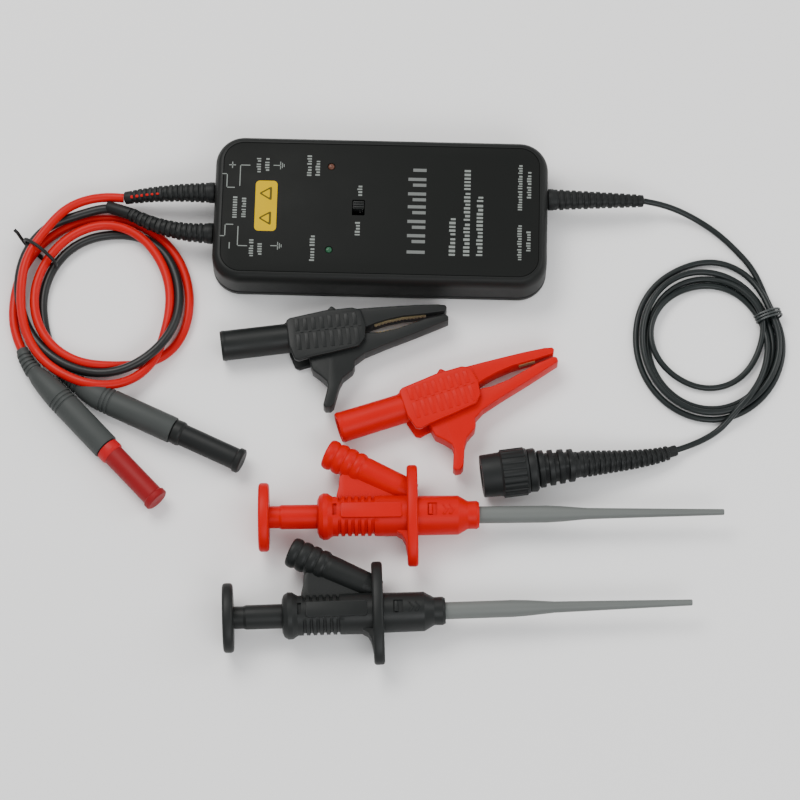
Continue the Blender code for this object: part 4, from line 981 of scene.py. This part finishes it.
def make_teeth(colour, here):
    """The toothed brass strips: one under the upper jaw, one on the lower jaw."""
    first, last, count = 85.0 if colour == "red" else 69.0, 92.4, 30
    for name, body, edge, side, nodes in (
            ("upper", f"{colour}_clip", UPPER_EDGE, -1, (f"{colour}_clip_contact",)),
            ("lower", f"{colour}_clip_lower_jaw", LOWER_EDGE, 1, ())):
        heights = []
        for step in range(count + 1):
            x = first + (last - first) * step / count
            (xa, ya), (xb, yb) = next(pair for pair in zip(edge, edge[1:]) if x <= pair[1][0])
            heights.append((x, ya + (yb - ya) * (x - xa) / (xb - xa), 0.55 if step % 2 else 0.15))
        outline = [(x, y + side * depth) for x, y, depth in heights]
        outline += [(x, y - side * 0.8) for x, y, _ in reversed(heights)]
        strip = slab(f"{colour}_{name}_teeth", outline, 0.6, 2.6, edge=0.06, place=here, rounds=1)
        piece(strip, "brass", *nodes, body=body)


# ---- Hook clips
HOOK_WIRE_MIDDLE = (46.3 + 203.0) / 2
SOCKET_END = (30.15, 29.4)
SOCKET_TURN = math.radians(-27.0)
GRIP_GROOVES = [35.6 + 2.9 * index for index in range(6)]
HOUSING = [(25.8, 7.2), (26.6, 9.2), (28.4, 10.3), (30.3, 10.2), (31.8, 9.2), (32.6, 8.7),
           *((spot + shift, radius) for spot in GRIP_GROOVES
             for shift, radius in ((-0.75, 8.75), (-0.45, 8.72), (0.45, 8.72), (0.75, 8.75))),
           (53.0, 8.9), (68.0, 9.0), (70.0, 8.7), (87.4, 8.6), (91.2, 6.4), (91.8, 6.1), (95.4, 6.2),
           (96.6, 5.5)]
WEB = [(34.5, 6.0), (34.2, 9.2), (35.2, 13.0), (35.6, 18.0), (44.0, 23.0), (65.0, 14.0), (65.0, 6.0)]
FILLET = [(60.2, -6.0), (60.4, -8.4), (62.8, -9.8), (64.2, -12.6), (64.9, -17.5), (66.5, -17.5), (66.5, -6.0)]


def grip_grooves(along, angle):
    """A wave that cuts the grooves of the grip into two sides of the housing."""
    if not any(abs(along - spot) < 0.5 for spot in GRIP_GROOVES):
        return 0.0
    return -0.95 * max(0.0, min(1.0, 3.0 * (abs(math.cos(angle)) - 0.42)))


def make_hooks():
    for colour in COLOURS:
        heading = JOINTS[f"{colour}_hook_push"]["axis"]
        axis = axis_frame(middle(f"{colour}_hook_wire"), heading, HOOK_WIRE_MIDDLE)
        material = f"clip_{colour}"
        body = turned(f"{colour}_hook_shell", HOUSING, axis, 72, fillet=0.25, wave=grip_grooves)
        across = axis @ Matrix(((0, 0, 1, 0), (1, 0, 0, 0), (0, 1, 0, 0), (0, 0, 0, 1)))
        union(body, slab("guard", oval(23.2, 11.0), 65.0, 69.8, edge=1.3, place=across, rounds=3),
              slab("web", WEB, -2.5, 2.5, edge=0.6, place=axis, fillet=1.0),
              slab("fillet", FILLET, -4.2, 4.2, edge=1.0, place=axis, fillet=0.8),
              slab("panel", round_rect(13.3, 3.4, 1.0, 4), 7.6, 9.35, edge=0.35,
                   place=axis @ at(49.5)))
        marks = []
        for x in (80.6, 83.4):
            for side in (-1, 1):
                points = [(x, side * 2.1), (x + 1.5, 0.0), (x + 2.3, 0.0), (x + 0.8, side * 2.1)]
                marks.append(slab("mark", points, 8.0, 8.85, edge=0.08, place=axis, rounds=1))
        union(body, *marks)

        lean = axis @ at(*SOCKET_END) @ Matrix.Rotation(SOCKET_TURN, 4, "Z")
        rows = [(0.0, 5.9), (0.2, 6.2)]
        for index in range(4):
            along = 0.7 + 4.4 * index
            rows += [(along, 6.5), (along + 0.9, 6.75), (along + 2.3, 6.75), (along + 3.1, 6.4),
                     (along + 3.7, 5.95)]
        rows += [(19.4, 6.1), (36.0, 5.7), (42.5, 4.6)]
        union(body, turned("socket", rows, lean, 48, fillet=0.3))
        bore = turned("bore", [(-3, 4.5), (0.4, 4.35), (22, 4.3)], lean, 40, fillet=0)
        rows = [(20, 5.7), (62, 5.7), (62, 1.0), (78.7, 1.0), (78.7, 4.1), (100, 4.1)]
        passage = turned("passage", rows, axis, 40, fillet=0)
        slot = slab("slot", round_rect(0.9, 2.7, 0.3, 3), 7.0, 12.0, place=axis @ at(33.4, 0.7))
        window = slab("window", round_rect(2.1, 2.9, 0.4, 3), 7.4, 12.0, place=axis @ at(76.1, 0.4))
        piece(cut(body, bore, passage, slot, window), material, f"{colour}_hook_body", body=f"{colour}_hook")
        latch = slab(f"{colour}_latch", round_rect(0.7, 2.4, 0.3, 3), 7.2, 8.3, edge=0.2,
                     place=axis @ at(75.3, 0.4))
        piece(latch, material, body=f"{colour}_hook")

        rows = [(79, 3.75), (126, 3.75), (133, 3.4), (144, 2.5), (203.6, 1.35), (204, 1.1), (204, 0.8),
                (79, 0.8)]
        stem = turned(f"{colour}_stem", rows, axis, 40, bored=True, fillet=0.3)
        piece(stem, "stem_grey", f"{colour}_hook_stem", body=f"{colour}_hook")

        rows = [(1.0, 4.6), (2.0, 4.9), (9.0, 4.9), (10.2, 5.35), (45.6, 5.35), (46.0, 5.0)]
        shaft = turned(f"{colour}_pusher", rows, axis, 48, fillet=0.3)
        union(shaft, slab("pad", oval(15.5, 11.0), 0.0, 4.7, edge=1.4, place=across, rounds=3))
        piece(shaft, material, f"{colour}_hook_plunger", body=f"{colour}_hook_pusher")


# ---- Ties
def wire(name, stations, radius, material, slot, node):
    piece(tube(name, smooth(stations, 0.0006), radius, 3), material, node, slot=slot)


def wraps(centre, outward, half_width, half_height, height, count, pitch):
    """Points of a wire wound round a flat bundle, stepping along it by the pitch each time round."""
    along = Vector((-outward.y, outward.x, 0.0))
    points = []
    for step in range(18 * count + 1):
        angle = math.radians(-90 + 20 * step)
        shift = along * ((step / 18 - count / 2) * pitch * MM)
        points.append(centre + shift + outward * (half_width * math.cos(angle) * MM)
                      + Vector((0, 0, (height + half_height * math.sin(angle)) * MM)))
    return points


def make_ties():
    outward = Vector((-0.795, 0.607, 0.0)).normalized()
    spot = Vector((*LEAD_COIL_CENTRE, 0.0)) + outward * 0.0378
    loop = wraps(spot, outward, 9.3, 6.2, 6.6, 1, 0.5)
    tail = ((0.0035, 0.0006), (0.0085, 0.0012), (0.0116, 0.0058), (0.0134, 0.0096), (0.0152, 0.0104))
    loop += [spot + outward * reach + Vector((0, 0, height)) for reach, height in tail]
    wire("lead_tie_wire", loop, 0.8, "clip_black", "rubber_black", "lead_tie")
    outward = Vector((0.92, 0.39, 0.0)).normalized()
    spot = Vector((*COAX_COIL_CENTRE, 0.0)) + outward * 0.0286
    loop = wraps(spot, outward, 5.9, 3.3, 3.7, 3, 1.35)
    wire("coax_tie_wire", loop, 0.55, "tie_dark", "tie_pale", "coax_tie")


# ---- CAD nodes that keep their shape
def finish_kept():
    kept = {"circuit_board": "board_green", "shield_can": "steel", "range_switch_body": "steel",
            "bnc_insulator": "tie_pale", "bnc_pin": "brass",
            "red_plug_shroud": "collar_red", "black_plug_shroud": "clip_black"}
    kept.update({f"case_screw_{index}": "steel" for index in range(1, 5)})
    for colour in COLOURS:
        kept[f"{colour}_plug_pin"] = "nickel"
        for part in ("clip_pin", "clip_spring", "hook_spring", "hook_wire"):
            kept[f"{colour}_{part}"] = "steel"
    for node, material in kept.items():
        data = frame["nodes"][node].data
        data.materials.clear()
        data.materials.append(MATERIALS[material])


MATERIALS = make_materials()
add_camera()
add_stage()
make_cords()
make_case()
make_face()
make_print()
make_box_fittings()
make_reliefs()
make_plugs()
make_bnc()
make_clips()
make_hooks()
make_ties()
finish_kept()
